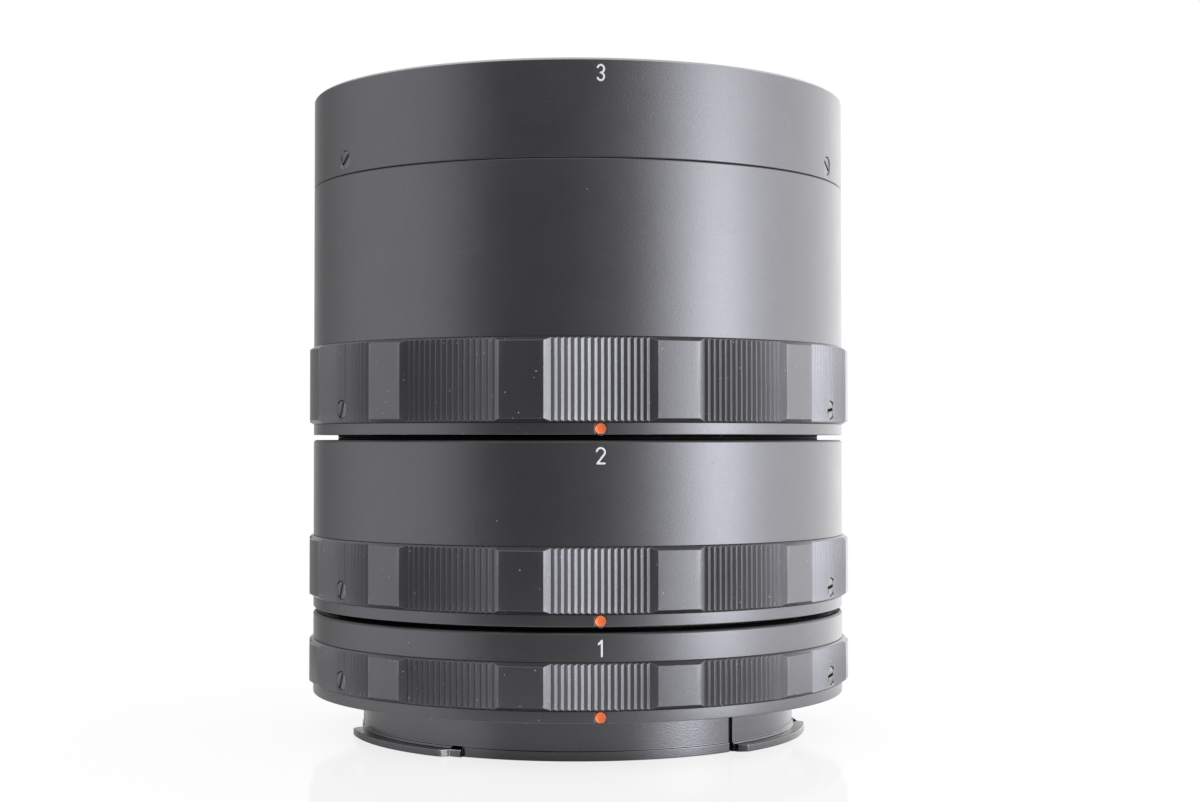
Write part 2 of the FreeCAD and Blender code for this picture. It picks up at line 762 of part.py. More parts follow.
def release_button(k):
    """Plunger through the barrel wall: a cap, a shoulder that keeps it in, and a cone."""
    body = new_body(f"tube_{k}_release_button")
    height = f"({seat(k)} - button_depth)"
    base = "(latch_outer - pocket_gap)"
    face = "barrel_radius + button_proud"
    profile = [
        (f"{base} - button_cone", "0"),
        (f"{base} - button_cone", "button_tip"),
        (base, "button_radius"),
        (base, "button_shoulder"),
        (f"{base} + pocket_gap", "button_shoulder"),
        (f"{base} + pocket_gap", "button_radius"),
        (f"{face} - pocket_gap", "button_radius"),
        (face, "button_radius - pocket_gap"),
        (face, "0"),
    ]
    bearing = value("button_bearing")
    corners = [(out, f"{height} + {up}") for out, up in profile]
    sketch = outline(body, "plunger_outline", corners, bearing)
    plunger = body.newObject("PartDesign::Revolution", "plunger")
    plunger.Profile = sketch
    plunger.ReferenceAxis = (sketch, [f"Edge{len(corners)}"])
    plunger.Angle = 360
    sketch.Visibility = False
    keep(body, k)


def transfer_ring(k):
    """Ring that carries the aperture motion: a rear finger in the bayonet and an arm to the front."""
    body = new_body(f"tube_{k}_transfer_ring")
    low = "bayonet_depth + bed_floor + transfer_gap"
    high = "bayonet_depth + rear_flange - transfer_gap"
    ring = [
        ("transfer_bore", low),
        ("transfer_radius", low),
        ("transfer_radius", high),
        ("transfer_bore", high),
    ]
    spin(body, "Revolution", "ring", ring)
    arm_top = f"{seat(k)} - arm_depth"
    tip = f"{seat(k)} - front_finger_depth"
    front = value("front_finger_bearing")
    root = "transfer_bore + pocket_gap"
    shelf = [("finger_bore", low), (root, low), (root, high), ("finger_bore", high)]
    spin(body, "Revolution", "shelf", shelf, "arm_angle + shelf_angle", front + value("shelf_angle / 2"))
    arm = [("finger_bore", low), ("finger_radius", low), ("finger_radius", arm_top), ("finger_bore", arm_top)]
    spin(body, "Revolution", "arm", arm, "arm_angle", front)
    finger = [("finger_bore", low), ("finger_radius", low), ("finger_radius", tip), ("finger_bore", tip)]
    spin(body, "Revolution", "front_finger", finger, "finger_angle", front)
    rear = [
        ("finger_bore", "rear_finger_low"),
        ("finger_radius", "rear_finger_low"),
        ("finger_radius", high),
        ("finger_bore", high),
    ]
    spin(body, "Revolution", "rear_finger", rear, "finger_angle", value("rear_finger_bearing"))
    keep(body, k)


def transfer_cover(k):
    """Plate over the transfer ring's bed, with the post of the return spring."""
    low = value("bayonet_depth + rear_flange")
    high = low + value("cover_height")
    inner = value("transfer_bore")
    plate = Part.makeCylinder(value("cover_radius"), high - low, Vector(0, 0, low))
    holes = [Part.makeCylinder(inner, high - low, Vector(0, 0, low))]
    radius = value("cover_screw_radius + fit_gap")
    place = value("cover_screw_place")
    for bearing in COVER_SCREW_BEARINGS:
        holes.append(Part.makeCylinder(radius, high - low, around(place, bearing, low)))
    post = Part.makeCylinder(
        value("post_radius"), value("post_height"), around(value("post_place"), value("post_bearing"), high)
    )
    plate = plate.cut(holes).fuse(post).removeSplitter()
    plain_piece(f"tube_{k}_transfer_cover", k, *plate.Solids)


def cover_screws(k):
    """Three small screws that hold the cover plate down, as plain cylinders."""
    high = value("bayonet_depth + rear_flange + cover_height + cover_screw_proud")
    low = value("bayonet_depth + rear_flange + cover_height - cover_screw_length")
    foot = Vector(value("cover_screw_place"), 0, low)
    screw = Part.makeCylinder(value("cover_screw_radius"), high - low, foot)
    plain_piece(f"tube_{k}_cover_screws", k, *[turned_to(screw, bearing) for bearing in COVER_SCREW_BEARINGS])


def return_spring(k):
    """Blade spring from the post round to the arm, which it pushes back to its rest."""
    low = value("bayonet_depth + rear_flange + cover_height + blade_lift")
    high = low + value("blade_height")
    leaf = value("spring_leaf")
    outer = value("post_place")
    post = value("post_bearing")
    post_turn = math.degrees(value("post_radius + fit_gap") / outer)
    arm_side = value("front_finger_bearing + arm_angle / 2")
    tip_turn = math.degrees((leaf / 2 + value("fit_gap")) / value("finger_bore"))
    tip = arm_side + tip_turn
    band = sector(outer - leaf, outer, low, high, post - post_turn - tip, (post - post_turn + tip) / 2)
    inner = value("finger_bore + blade_inset")
    blade = Part.makeBox(outer - inner, leaf, high - low, Vector(inner, -leaf / 2, low))
    spring = band.fuse(turned_to(blade, tip)).removeSplitter()
    plain_piece(f"tube_{k}_return_spring", k, *spring.Solids)


def light_baffle(k):
    """Matt inner tube with a flange that the front mount clamps, slotted for the arm's finger."""
    body = new_body(f"tube_{k}_light_baffle")
    under = f"{seat(k)} - skirt_depth - baffle_flange"
    over = f"{seat(k)} - skirt_depth"
    corners = [
        ("baffle_bore", "baffle_low"),
        ("baffle_radius", "baffle_low"),
        ("baffle_radius", under),
        ("skirt_radius", under),
        ("skirt_radius", over),
        ("baffle_radius", over),
        ("baffle_radius", f"{over} + baffle_rise"),
        ("baffle_bore", f"{over} + baffle_rise"),
    ]
    spin(body, "Revolution", "turned_body", corners)
    inner = "finger_bore - pocket_gap"
    outer = "finger_radius + pocket_gap"
    low = f"{under} - {OVERRUN}"
    high = f"{over} + {OVERRUN}"
    slot = [(inner, low), (outer, low), (outer, high), (inner, high)]
    angle = "finger_angle + transfer_travel + 2 * baffle_slot_gap"
    spin(body, "Groove", "finger_slot", slot, angle, value("front_finger_bearing + transfer_travel / 2"))
    keep(body, k)


for k in TUBES:
    barrel(k)
    grip_ring(k)
    grip_height = "bayonet_depth + rear_flange + grip_screw_height"
    ring_of_slotted_screws(f"tube_{k}_grip_screws", k, "grip_screw_point", "grip_screw_face", grip_height)
    rear_mount(k)
    ring_of_mount_screws(f"tube_{k}_rear_mount_screws", k, "bayonet_depth + seat_step")
    index_dot(k)
    front_mount(k)
    ring_of_mount_screws(f"tube_{k}_front_mount_screws", k, f"{seat(k)} - seat_step - screw_length")
    lug_springs(k)
    stop_pin(k)
    latch_spring(k)
    release_button(k)
    transfer_ring(k)
    transfer_cover(k)
    cover_screws(k)
    return_spring(k)
    light_baffle(k)
    if has_collar(k):
        collar(k)
        collar_height = f"{seat(k)} - seat_step - collar_height + collar_screw_height"
        ring_of_slotted_screws(
            f"tube_{k}_collar_screws", k, "collar_screw_point", "collar_screw_face", collar_height
        )

doc.recompute()
for thing in doc.Objects:
    if "Invalid" in thing.State or "Error" in thing.State:
        raise RuntimeError(f"{thing.Label} did not build: {thing.State}")
os.makedirs("parts", exist_ok=True)
for node in nodes:
    if node.Shape.isNull() or not node.Shape.isValid() or not node.Shape.Solids:
        raise RuntimeError(f"{node.Label} has no valid solid")
    node.Shape.exportStep(f"parts/{node.Label}.step")
    print(f"{node.Label}: {len(node.Shape.Solids)} solids, {node.Shape.Volume:.1f} mm3")
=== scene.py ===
import math

import bpy
import numpy as np
from bpy.props import FloatProperty, FloatVectorProperty, PointerProperty
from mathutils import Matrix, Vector


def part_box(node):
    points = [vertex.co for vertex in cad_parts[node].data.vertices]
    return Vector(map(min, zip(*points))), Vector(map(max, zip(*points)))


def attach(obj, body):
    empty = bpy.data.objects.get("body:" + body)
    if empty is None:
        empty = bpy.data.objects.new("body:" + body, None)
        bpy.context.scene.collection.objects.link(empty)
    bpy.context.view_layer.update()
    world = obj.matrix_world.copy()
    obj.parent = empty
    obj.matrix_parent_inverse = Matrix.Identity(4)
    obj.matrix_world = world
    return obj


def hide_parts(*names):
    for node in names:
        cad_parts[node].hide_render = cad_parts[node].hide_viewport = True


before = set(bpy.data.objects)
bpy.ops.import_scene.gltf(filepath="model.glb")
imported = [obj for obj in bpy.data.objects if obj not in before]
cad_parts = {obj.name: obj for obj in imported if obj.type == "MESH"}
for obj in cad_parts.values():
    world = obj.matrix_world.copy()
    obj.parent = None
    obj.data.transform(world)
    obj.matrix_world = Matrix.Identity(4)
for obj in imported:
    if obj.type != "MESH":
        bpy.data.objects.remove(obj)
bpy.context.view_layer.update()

bl_info = {
    "name": "Extension Tube Set",
    "version": (1, 0, 0),
    "blender": (4, 5, 0),
    "location": "3D View > Sidebar > Tubes",
    "description": "Dresses a stack of three automatic extension tubes and sets up its studio",
    "category": "Object",
}

# Shapes are worked out in millimetres and made in metres. A bearing is in degrees round the optical
# axis from the index marks, which face -Y, and grows towards +X.
MM = 0.001
TUBES = (1, 2, 3)
LAST = TUBES[-1]
LEVEL = {k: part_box(f"tube_{k}_rear_mount")[0][2] / MM for k in TUBES}
SEAT = {k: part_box(f"tube_{k}_front_mount")[1][2] / MM for k in TUBES}
GRIP = {k: [corner[2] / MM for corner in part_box(f"tube_{k}_grip_ring")] for k in TUBES}
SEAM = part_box(f"tube_{LAST}_collar")[0][2] / MM
# Bearings and half widths of what stands or is cut round the axis
LUG_BEARINGS = (60.0, 180.0, 300.0)
LUG_HALF = 22.0
# The block that a lug slopes down to, in degrees from the lug's middle
BLOCK = (23.4, 26.6)
# A lug with its lead in, and its block: degrees from the lug's middle and share of its rise
LEAD_IN = ((-22.05, 0.0), (-22.0, 0.45), (-20.4, 1.0))
LUG_SHAPE = (*LEAD_IN, (LUG_HALF, 1.0), (BLOCK[0], 0.4), (26.55, 0.4), (BLOCK[1], 0.0))
SLIT_BEARING = 99.0
SLIT_HALF = 13.0
CLAW_HALF = 36.0
SCREW_BEARINGS = (54.0, 126.0, 198.0, 270.0, 342.0)
SLOT_TURNS = {"grip": (6.0, -40.0, 66.0), "collar": (-35.0, 20.0, 36.0)}
LOCK_BEARING = 246.0
BUTTON_BEARING = 236.0
LATCH_MIDDLE = 237.0
LATCH_HALF = 12.0
LATCH_SHELF = -6.0
# Heights above a tube's level, above its grip or the seam, and below its seat
DOT_RISE = 7.65
GRIP_SCREW_RISE = 2.15
COLLAR_SCREW_RISE = 2.3
BUTTON_DROP = 2.9
NUMBER_DROP = 2.68
RIM_DROP = 0.4
LEDGE_DROP = 6.7
# The flange's two faces above a tube's level, and the wall's depths at its bearings and between them
FLANGE = (6.8, 8.6)
WALL_DEPTH = 5.4
THIN_DEPTH = 2.4
SEAM_EASE = 0.15
# Radii of the places of the mounts' screws and of the pockets
SCREW_PLACE = 41.3
MOUNT_HOLE = 1.2
LOCK_HOLE = 0.8
SCREW_HOLE = 1.47
BUTTON_HOLE = 1.2
DOT_HOLE = 0.9
BAFFLE_BORE = 30.4
# A button's outline: radius and height above its shoulder, then radius, depth below its face and wear
BUTTON_SHANK = 2.1
BUTTON_PROUD = 0.5
BUTTON_FOOT = ((0.02, -0.9), (0.48, -0.9), (1.1, 0.0), (1.25, 0.02), (1.25, 0.18), (1.12, 0.2), (1.1, 0.24))
BUTTON_HEAD = (
    (1.1, 0.24, 0.0),
    (1.08, 0.17, 0.6),
    (0.94, 0.04, 0.9),
    (0.86, 0.01, 0.4),
    (0.76, 0.02, 0.0),
    (0.7, 0.09, 0.0),
    (0.62, 0.09, 0.0),
    (0.56, 0.02, 0.5),
    (0.3, 0.005, 0.0),
    (0.02, 0.0, 0.0),
)
# How far the grips' upper ends stay below those of their solids
GRIP_TRIM = 0.65
# The knurl, in degrees. Its flats are shares of the pitch, to each side of a crest or root
LANDS = 12
TEETH = 15
TOOTH_PITCH = 1.25
LAND_HALF = TEETH * TOOTH_PITCH / 2
SLOPE = 1.375
GRIP_EASE = 0.07
CREST_SHARE = 0.035
ROOT_SHARE = 0.025
# The studio's light round the object: bearing and radiance of each place, and a soft lamp in it
LIGHT_TOP = 10.0
ROUND_LIGHT = (
    (-180, (1.9, 1.9, 1.95)),
    (-160, (0.35, 0.35, 0.35)),
    (-142, (0.3, 0.3, 0.3)),
    (-125, (0.75, 0.75, 0.76)),
    (-106, (1.22, 1.22, 1.26)),
    (-62, (1.22, 1.22, 1.26)),
    (-54, (0.85, 0.85, 0.87)),
    (-47, (0.3, 0.3, 0.3)),
    (-30, (0.22, 0.22, 0.22)),
    (0, (0.3, 0.3, 0.3)),
    (14, (0.5, 0.5, 0.5)),
    (27, (0.95, 0.95, 0.97)),
    (37, (2.9, 2.92, 3.0)),
    (50, (3.5, 3.52, 3.62)),
    (66, (3.6, 3.6, 3.7)),
    (80, (3.1, 3.1, 3.15)),
    (92, (2.85, 2.85, 2.9)),
    (120, (2.7, 2.7, 2.7)),
    (180, (1.9, 1.9, 1.95)),
)
LAMP_BEARING = 56.0
LAMP_WIDTH = 19.0
LAMP_RISE = 1.0
LAMP_HEIGHT = 13.0
LAMP_LIGHT = (9.2, 9.4, 9.9)
TOP_LIGHT = (1.6, 1.6, 1.55)
LOW_LIGHT = (0.35, 0.35, 0.35)
KEY_LIGHT = 4.8
FLOOR_RADIUS = 112.0
FLOOR_EASE = 0.1
FLOOR_THICKNESS = 2.0
SENSOR = 36.0
# The least distance between two rows or columns of a grid, so that none fall together
HAIR = 0.001
# Chamfer of the round pockets, and the wear of their rows
POCKET_EASE = 0.08
RIM_WEIGHTS = np.array([0.0, 0.8, 0.0, 0.0, 0.8, 0.0])[:, None]


def length(name, description, default):
    return FloatProperty(name=name, description=description, default=default * MM, unit="LENGTH", precision=5)


def colour(name, description, default):
    return FloatVectorProperty(name=name, description=description, default=default, size=3, subtype="COLOR")


def turn(name, description, default):
    return FloatProperty(name=name, description=description, default=math.radians(default), subtype="ANGLE")


class TubeSizes(bpy.types.PropertyGroup):
    barrel_radius: length("Barrel radius", "Outside of the smooth barrels", 44.0)
    grip_radius: length("Grip radius", "Smooth panels of the grip rings", 45.0)
    grip_chamfer: length("Grip chamfer", "Height of the chamfers at both ends of the grips", 0.57)
    grip_shoulder: length("Grip shoulder", "Radial depth of these chamfers", 0.85)
    land_drop: length("Land drop", "Roots of the knurl below the smooth panels", 0.65)
    tooth_depth: length("Tooth depth", "Depth of the grooves of the knurl", 0.27)
    bayonet_radius: length("Bayonet radius", "Male bayonet's cylinder", 35.7)
    lug_radius: length("Lug radius", "Outside of the bayonet's lugs", 37.7)
    seat_radius: length("Seat radius", "Outside of the seats that meet", 40.0)
    socket_radius: length("Socket radius", "Bore of the female bayonet", 38.0)
    edge_ease: length("Eased edge", "Rounding of turned edges", 0.12)
    digit_height: length("Digit height", "Height of the painted numbers", 2.54)
    digit_stroke: length("Digit stroke", "Stroke width of the painted numbers", 0.29)


class TubeFinish(bpy.types.PropertyGroup):
    anodised: colour("Anodised black", "Satin black of the barrels", (0.115, 0.115, 0.122))
    bare_metal: colour("Bare metal", "Aluminium where the black is worn off", (0.62, 0.62, 0.64))
    enamel: colour("Index enamel", "Orange of the index dots", (0.8, 0.155, 0.028))
    paint: colour("Number paint", "White of the numbers", (0.66, 0.68, 0.7))
    roughness: FloatProperty(name="Roughness", description="Roughness of the satin black", default=0.34)


class StudioSettings(bpy.types.PropertyGroup):
    distance: length("Camera distance", "From the optical axis to the camera", 325.0)
    height: length("Camera height", "Above the floor", 48.2)
    bearing: turn("Camera bearing", "Round the axis from -Y", -4.3)
    pitch: turn("Camera pitch", "Above the level", 1.12)
    yaw: turn("Camera yaw", "To the right of the axis", 0.65)
    lens: FloatProperty(name="Lens", description="Focal length on a 36 mm wide sensor", default=57.9)
    key: FloatProperty(name="Key light", description="Radiance of the light on the right", default=KEY_LIGHT)


# Shader maths as expressions


class Sock:
    """A shader socket in a Python expression; each operation on values adds its Math node."""

    def __init__(self, tree, socket):
        self.tree = tree
        self.socket = socket

    def feed(self, given):
        """Links or sets this input."""
        if isinstance(given, Sock):
            self.tree.links.new(given.socket, self.socket)
        else:
            self.socket.default_value = given

    def maths(self, operation, *values):
        node = self.tree.nodes.new("ShaderNodeMath")
        node.operation = operation
        for socket, given in zip(node.inputs, values):
            Sock(self.tree, socket).feed(given)
        return Sock(self.tree, node.outputs[0])

    def __abs__(self):
        return self.maths("ABSOLUTE", self)

    def over(operation, swapped=False):
        """An operator's method; a reflected one takes its values the other way round."""
        return lambda self, other: self.maths(operation, *((other, self) if swapped else (self, other)))

    __add__, __radd__ = over("ADD"), over("ADD", True)
    __sub__, __rsub__ = over("SUBTRACT"), over("SUBTRACT", True)
    __mul__, __rmul__ = over("MULTIPLY"), over("MULTIPLY", True)
    __truediv__, __rtruediv__ = over("DIVIDE"), over("DIVIDE", True)
    __lt__ = over("LESS_THAN")
    most = over("MAXIMUM")


class Finish:
    """A material's nodes on Object coordinates, or the world's on its directions."""

    def __init__(self, name, kind="materials", place="Object"):
        self.owner = getattr(bpy.data, kind).new(name)
        self.owner.use_nodes = True
        self.tree = self.owner.node_tree
        self.tree.nodes.clear()
        self.place = self.node("TexCoord", {}, place)

    def node(self, kind, inputs, output=0, stops=(), **settings):
        """Adds a node: its settings and a ramp's stops first, then its sockets' values or links."""
        node = self.tree.nodes.new("ShaderNode" + kind)
        for name, given in settings.items():
            setattr(node, name, given)
        for place, _ in stops[1:-1]:
            node.color_ramp.elements.new(place)
        for element, (_, shade) in zip(node.color_ramp.elements if stops else (), stops):
            element.color = (*shade, 1.0)
        for name, given in inputs.items():
            Sock(self.tree, node.inputs[name]).feed(given)
        return Sock(self.tree, node.outputs[output]) if node.outputs else node

    def noise(self, size, detail=2.0, rough=0.5, place=None):
        """Noise whose features are about size millimetres across."""
        scale = 1.0 / (size * MM)
        inputs = {"Vector": place or self.place, "Scale": scale, "Detail": detail, "Roughness": rough}
        return self.node("TexNoise", inputs, "Fac")

    def stretched(self, *scale):
        """Object coordinates, scaled along each axis."""
        return self.node("Mapping", {"Vector": self.place, "Scale": scale})

    def mixed(self, factor, first, second):
        """A mix of two colours, by a value."""
        first, second = (given if isinstance(given, Sock) else (*given, 1.0) for given in (first, second))
        return self.node("Mix", {0: factor, 6: first, 7: second}, 2, data_type="RGBA")

    def between(self, value, low, high):
        """0 below low, 1 above high and smooth between them."""
        inputs = {"Value": value, "From Min": low, "From Max": high, "To Min": 0.0, "To Max": 1.0}
        return self.node("MapRange", inputs, interpolation_type="SMOOTHSTEP")

    def attribute(self, name):
        return self.node("Attribute", {}, "Fac", attribute_name=name)

    def specks(self, cell, size, share):
        """1 on round specks, size millimetres across, in a share of the cells of a Voronoi pattern."""
        inputs = {"Vector": self.place, "Scale": 1.0 / (cell * MM)}
        near = self.node("TexVoronoi", inputs, "Distance")
        pick = self.node("SeparateColor", {"Color": self.node("TexVoronoi", inputs, "Color")}, "Red")
        return (1.0 - self.between(near, 0.3 * size / cell, 0.5 * size / cell)) * (pick < share)

    def hairs(self, size, width, share):
        """1 on thin curved scratches: where a slow noise crosses a level, in patches of another."""
        wander = self.noise(size, 1.0, 0.4)
        patch = self.noise(size * 0.35, 0.0)
        line = 1.0 - self.between(abs(wander - 0.5), 0.2 * width, width)
        return line * self.between(patch, 1.0 - share, 1.02 - share)

    def bump(self, height, distance, strength):
        return self.node("Bump", {"Height": height, "Distance": distance * MM, "Strength": strength})

    def principled(self, **inputs):
        """The shader with these sockets, named with _ for a space, joined to the output."""
        named = {name.replace("_", " "): given for name, given in inputs.items()}
        shader = self.node("BsdfPrincipled", named)
        self.node("OutputMaterial", {"Surface": shader})
        return self.owner

    def rays(self):
        """1 on the camera's rays, and 1 on those that a surface mirrors or lets through."""
        kinds = ("Camera", "Glossy", "Transmission")
        camera, glossy, clear = (self.node("LightPath", {}, f"Is {kind} Ray") for kind in kinds)
        return camera, glossy + clear


def anodised(name, settings, wear=0.1, tone=1.0, dusty=0.03, edge_thinning_and_highlight=0.1, rubbed=0.0):
    """Satin black anodised aluminium: fine grain, turning marks, dust, hair scratches and worn edges.

    The edge attribute is 1 where an edge is eased, and the black thins and wears off there in
    patches; this thinning also paints a highlight along the edges. It is -1 in seams and in gaps between
    parts, which are painted nearly black as painted shade. Within the rubbed radius the black is glossier.
    """
    finish = Finish(f"satin_black_{name}")
    black = Vector(settings.anodised) * tone
    fine = finish.noise(0.09, 1.0, 0.6)
    grit = finish.noise(0.24, 1.0, 0.6)
    blotch = finish.noise(7.0, 3.0, 0.55)
    rings = finish.noise(1.0, 2.0, 0.6, finish.stretched(0.02, 0.02, 9.0))
    edge = finish.attribute("edge")
    breakup = finish.noise(0.8, 4.0, 0.7)
    worn = finish.between(edge * 0.6 + breakup, 1.15 - 0.45 * wear, 1.3 - 0.45 * wear)
    # Thinned black at eased edges, lightened towards bare metal, which also paints a highlight along them.
    thin_and_highlight = finish.between(edge, 0.1, 1.0) * edge_thinning_and_highlight
    # Painted shade: seams and gaps between parts, whose edge weight is -1, are painted nearly black and
    # rougher.
    grime_and_painted_shade = finish.between(edge * -1.0, 0.1, 0.8)
    dust = finish.specks(1.0, 0.24, 0.3 * dusty).most(finish.specks(2.0, 0.36, 0.3 * dusty) * 0.7)
    hair = finish.hairs(16.0, 0.0016, 0.34) * 0.2
    colour = finish.mixed(blotch * 0.4 + grit * 0.6, black * 0.82, black * 1.18)
    # Bare metal on worn edges, and a painted highlight along eased edges.
    colour = finish.mixed(worn.most(thin_and_highlight), colour, settings.bare_metal)
    # The painted shade's near-black colour in seams and gaps.
    colour = finish.mixed(grime_and_painted_shade, colour, (0.012, 0.012, 0.012))
    colour = finish.mixed((dust * 0.85).most(hair * 0.35), colour, (0.33, 0.33, 0.34))
    roughness = settings.roughness + (blotch - 0.5) * 0.07 + (rings - 0.5) * 0.05
    roughness = roughness + dust * 0.25 - worn * 0.06 + grime_and_painted_shade * 0.3
    if rubbed:
        radius = finish.node("VectorMath", {0: finish.stretched(1.0, 1.0, 0.0)}, "Value", operation="LENGTH")
        roughness = roughness - (radius < rubbed * MM) * 0.14
    height = fine * 1.1 + grit * 1.8 + rings * 0.25 + dust * 1.5 - hair * 0.5
    return finish.principled(
        Base_Color=colour,
        Metallic=1.0 - dust * 0.8,
        Roughness=roughness,
        Normal=finish.bump(height, 0.012, 0.55),
    )


def bare(name, base, roughness, streak=(1.0, 1.0, 6.0), contrast=0.15):
    """Bare or blackened metal with fine streaks from its machining."""
    finish = Finish(name)
    streaks = finish.noise(0.6, 4.0, 0.6, finish.stretched(*streak))
    fine = finish.noise(0.12, 2.0, 0.6)
    base = Vector(base)
    edge = finish.attribute("edge")
    colour = finish.mixed(streaks, base * (1.0 - contrast), base * (1.0 + contrast))
    colour = finish.mixed(edge * fine * 0.9, colour, (0.5, 0.5, 0.52))
    return finish.principled(
        Base_Color=colour,
        Metallic=1.0,
        Roughness=roughness + (streaks - 0.5) * 0.2,
        Normal=finish.bump(fine + streaks, 0.01, 0.5),
    )


def matt(name, base, roughness):
    """Matt black lacquer with a coarse grain and dust."""
    finish = Finish(name)
    grain = finish.noise(0.2, 3.0, 0.7)
    dust = finish.specks(5.0, 0.2, 0.12)
    base = Vector(base)
    colour = finish.mixed(grain, base * 0.7, base * 1.4)
    return finish.principled(
        Base_Color=finish.mixed(dust * 0.5, colour, (0.25, 0.25, 0.24)),
        Roughness=roughness + grain * 0.12,
        Normal=finish.bump(grain + dust, 0.03, 0.5),
    )


def enamel(name, base, roughness, mottle, coat=0.0):
    """Paint that fills a mark: slight pooling, pinholes and dark dirt at the rim."""
    finish = Finish(name)
    pool = finish.noise(0.7)
    grime_and_painted_shade = finish.specks(0.9, 0.13, 0.22)
    edge = finish.attribute("edge")
    base = Vector(base)
    colour = finish.mixed(pool, base * (1.0 - mottle), base * (1.0 + 0.4 * mottle))
    colour = finish.mixed((edge * 0.55).most(grime_and_painted_shade * 0.3), colour, base * 0.35)
    return finish.principled(
        Base_Color=colour,
        Roughness=roughness + pool * 0.1,
        Coat_Weight=coat,
        Normal=finish.bump(pool - grime_and_painted_shade, 0.02, 0.4),
    )


# Surfaces on a grid of two parameters. A form is its points, its faces and an edge weight for each
# point, which is 1 where the finish wears first and -1 where shade is painted in a seam or gap.


def piece(name, material, forms, body, slot, *nodes):
    """One mesh of closed forms, whose normals are weighted by the areas of the faces at each point.

    Each form's faces are turned outwards, by the sign of its volume.
    """
    points, faces, edges, start = [], [], [], 0
    for place, corners, edge in forms:
        first, second, third, last = (place[corners[:, side]] for side in range(4))
        volume = (first * np.cross(second, third)).sum() + (first * np.cross(third, last)).sum()
        points.append(place)
        faces.append((corners if volume > 0 else corners[:, ::-1]) + start)
        edges.append(edge)
        start += len(place)
    points, faces, edges = (np.concatenate(parts) for parts in (points, faces, edges))
    across = points[faces[:, 2]] - points[faces[:, 0]]
    slant = np.cross(across, points[faces[:, 3]] - points[faces[:, 1]])
    normals = np.zeros_like(points)
    for side in range(4):
        np.add.at(normals, faces[:, side], slant)
    normals /= np.maximum(np.linalg.norm(normals, axis=1, keepdims=True), 1e-12)
    mesh = bpy.data.meshes.new(name)
    mesh.from_pydata(points * MM, [], faces, shade_flat=False)
    mesh.attributes.new("edge", "FLOAT", "POINT").data.foreach_set("value", edges.astype(np.float32))
    mesh.normals_split_custom_set_from_vertices(normals)
    mesh.materials.append(material)
    made = bpy.data.objects.new(name, mesh)
    bpy.context.scene.collection.objects.link(made)
    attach(made, body)
    if nodes:
        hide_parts(*nodes)


def stand_in(kind, k, material, forms, slot, body="tube"):
    """The piece that stands for tube k's node of this kind."""
    piece(f"{kind}_{k}", material, forms, f"{body}_{k}", slot, f"tube_{k}_{kind}")


def ring_faces(rows, columns):
    """Quads of a grid that closes both ways."""
    index = np.arange(rows * columns).reshape(rows, columns)
    down = np.roll(index, -1, axis=0)
    corners = (index, np.roll(index, -1, axis=1), np.roll(down, -1, axis=1), down)
    return np.stack([corner.ravel() for corner in corners], axis=1)


def capped_faces(rows, columns):
    """Quads of a grid that closes round its columns, and whose end rows are zipped shut."""
    index = np.arange(rows * columns).reshape(rows, columns)
    wall = ring_faces(rows, columns)[: (rows - 1) * columns]
    half = np.arange(columns // 2 - 1)
    zipped = np.stack([half + 1, half, columns - 1 - half, columns - 2 - half], axis=1)
    return np.r_[wall, index[0][zipped], index[-1][zipped[:, ::-1]]]


def eased(corners, columns, reach):
    """Every corner of a closed outline as a quadratic curve between points on its two sides.

    A corner's radius and height may differ from column to column. A point's edge weight is
    4 t (1 - t) along its curve, times the sine of the corner's angle.
    """
    ones = np.ones(columns)
    here = np.array([[radius * ones, height * ones] for radius, height in corners])
    sides = [np.roll(here, shift, axis=0) - here for shift in (1, -1)]
    spans = [np.linalg.norm(side, axis=1, keepdims=True) for side in sides]
    ways = [side / span for side, span in zip(sides, spans)]
    start, end = (here + way * np.minimum(reach, 0.4 * span) for way, span in zip(ways, spans))
    bend = np.abs(ways[0][:, 0] * ways[1][:, 1] - ways[0][:, 1] * ways[1][:, 0])
    rows = []
    for t in np.linspace(0.0, 1.0, 4):
        curve = (1 - t) ** 2 * start + 2 * t * (1 - t) * here + t**2 * end
        rows.append(np.concatenate([curve, 4 * t * (1 - t) * bend[:, None]], axis=1))
    return np.stack(rows, axis=1).reshape(-1, 3, columns).transpose(1, 0, 2)


def bearings_round(step, *extra):
    """Bearings once round, evenly spaced, with extra ones merged in."""
    merged = np.mod(np.concatenate([np.arange(0.0, 360.0, step), *extra]), 360.0)
    merged = np.unique(np.round(merged, 5))
    return merged[np.append(np.diff(merged) > 0.0015, True)]


def near(columns, bearings):
    """Each column's signed distance in degrees from the nearest of some bearings."""
    away = (columns[:, None] - np.asarray(bearings)[None, :] + 180.0) % 360.0 - 180.0
    return away[np.arange(len(columns)), np.abs(away).argmin(axis=1)]


def spread(bearings, arcs, radius):
    """Columns at some arcs, in millimetres at a radius, from each of some bearings."""
    return (np.asarray(bearings)[:, None] + np.degrees(np.asarray(arcs) / radius)[None, :]).ravel()


def pocket_columns(bearings, place, hole):
    """Columns that draw a round pocket, finer towards its sides."""
    swing = hole * np.sin(np.radians(np.linspace(-90.0, 90.0, 17)))
    half, full = hole + POCKET_EASE / 2, hole + POCKET_EASE
    return spread(bearings, np.r_[swing, -full, -half, half, full], place)


def end_columns(bearings, half, radius):
    """Columns that draw the eased ends of sectors, half degrees to each side of their bearings."""
    ends = [bearing + side * half for bearing in bearings for side in (-1, 1)]
    return spread(ends, [-0.4, -0.2, -0.1, -0.05, -HAIR, HAIR, 0.05, 0.1, 0.2, 0.4], radius)


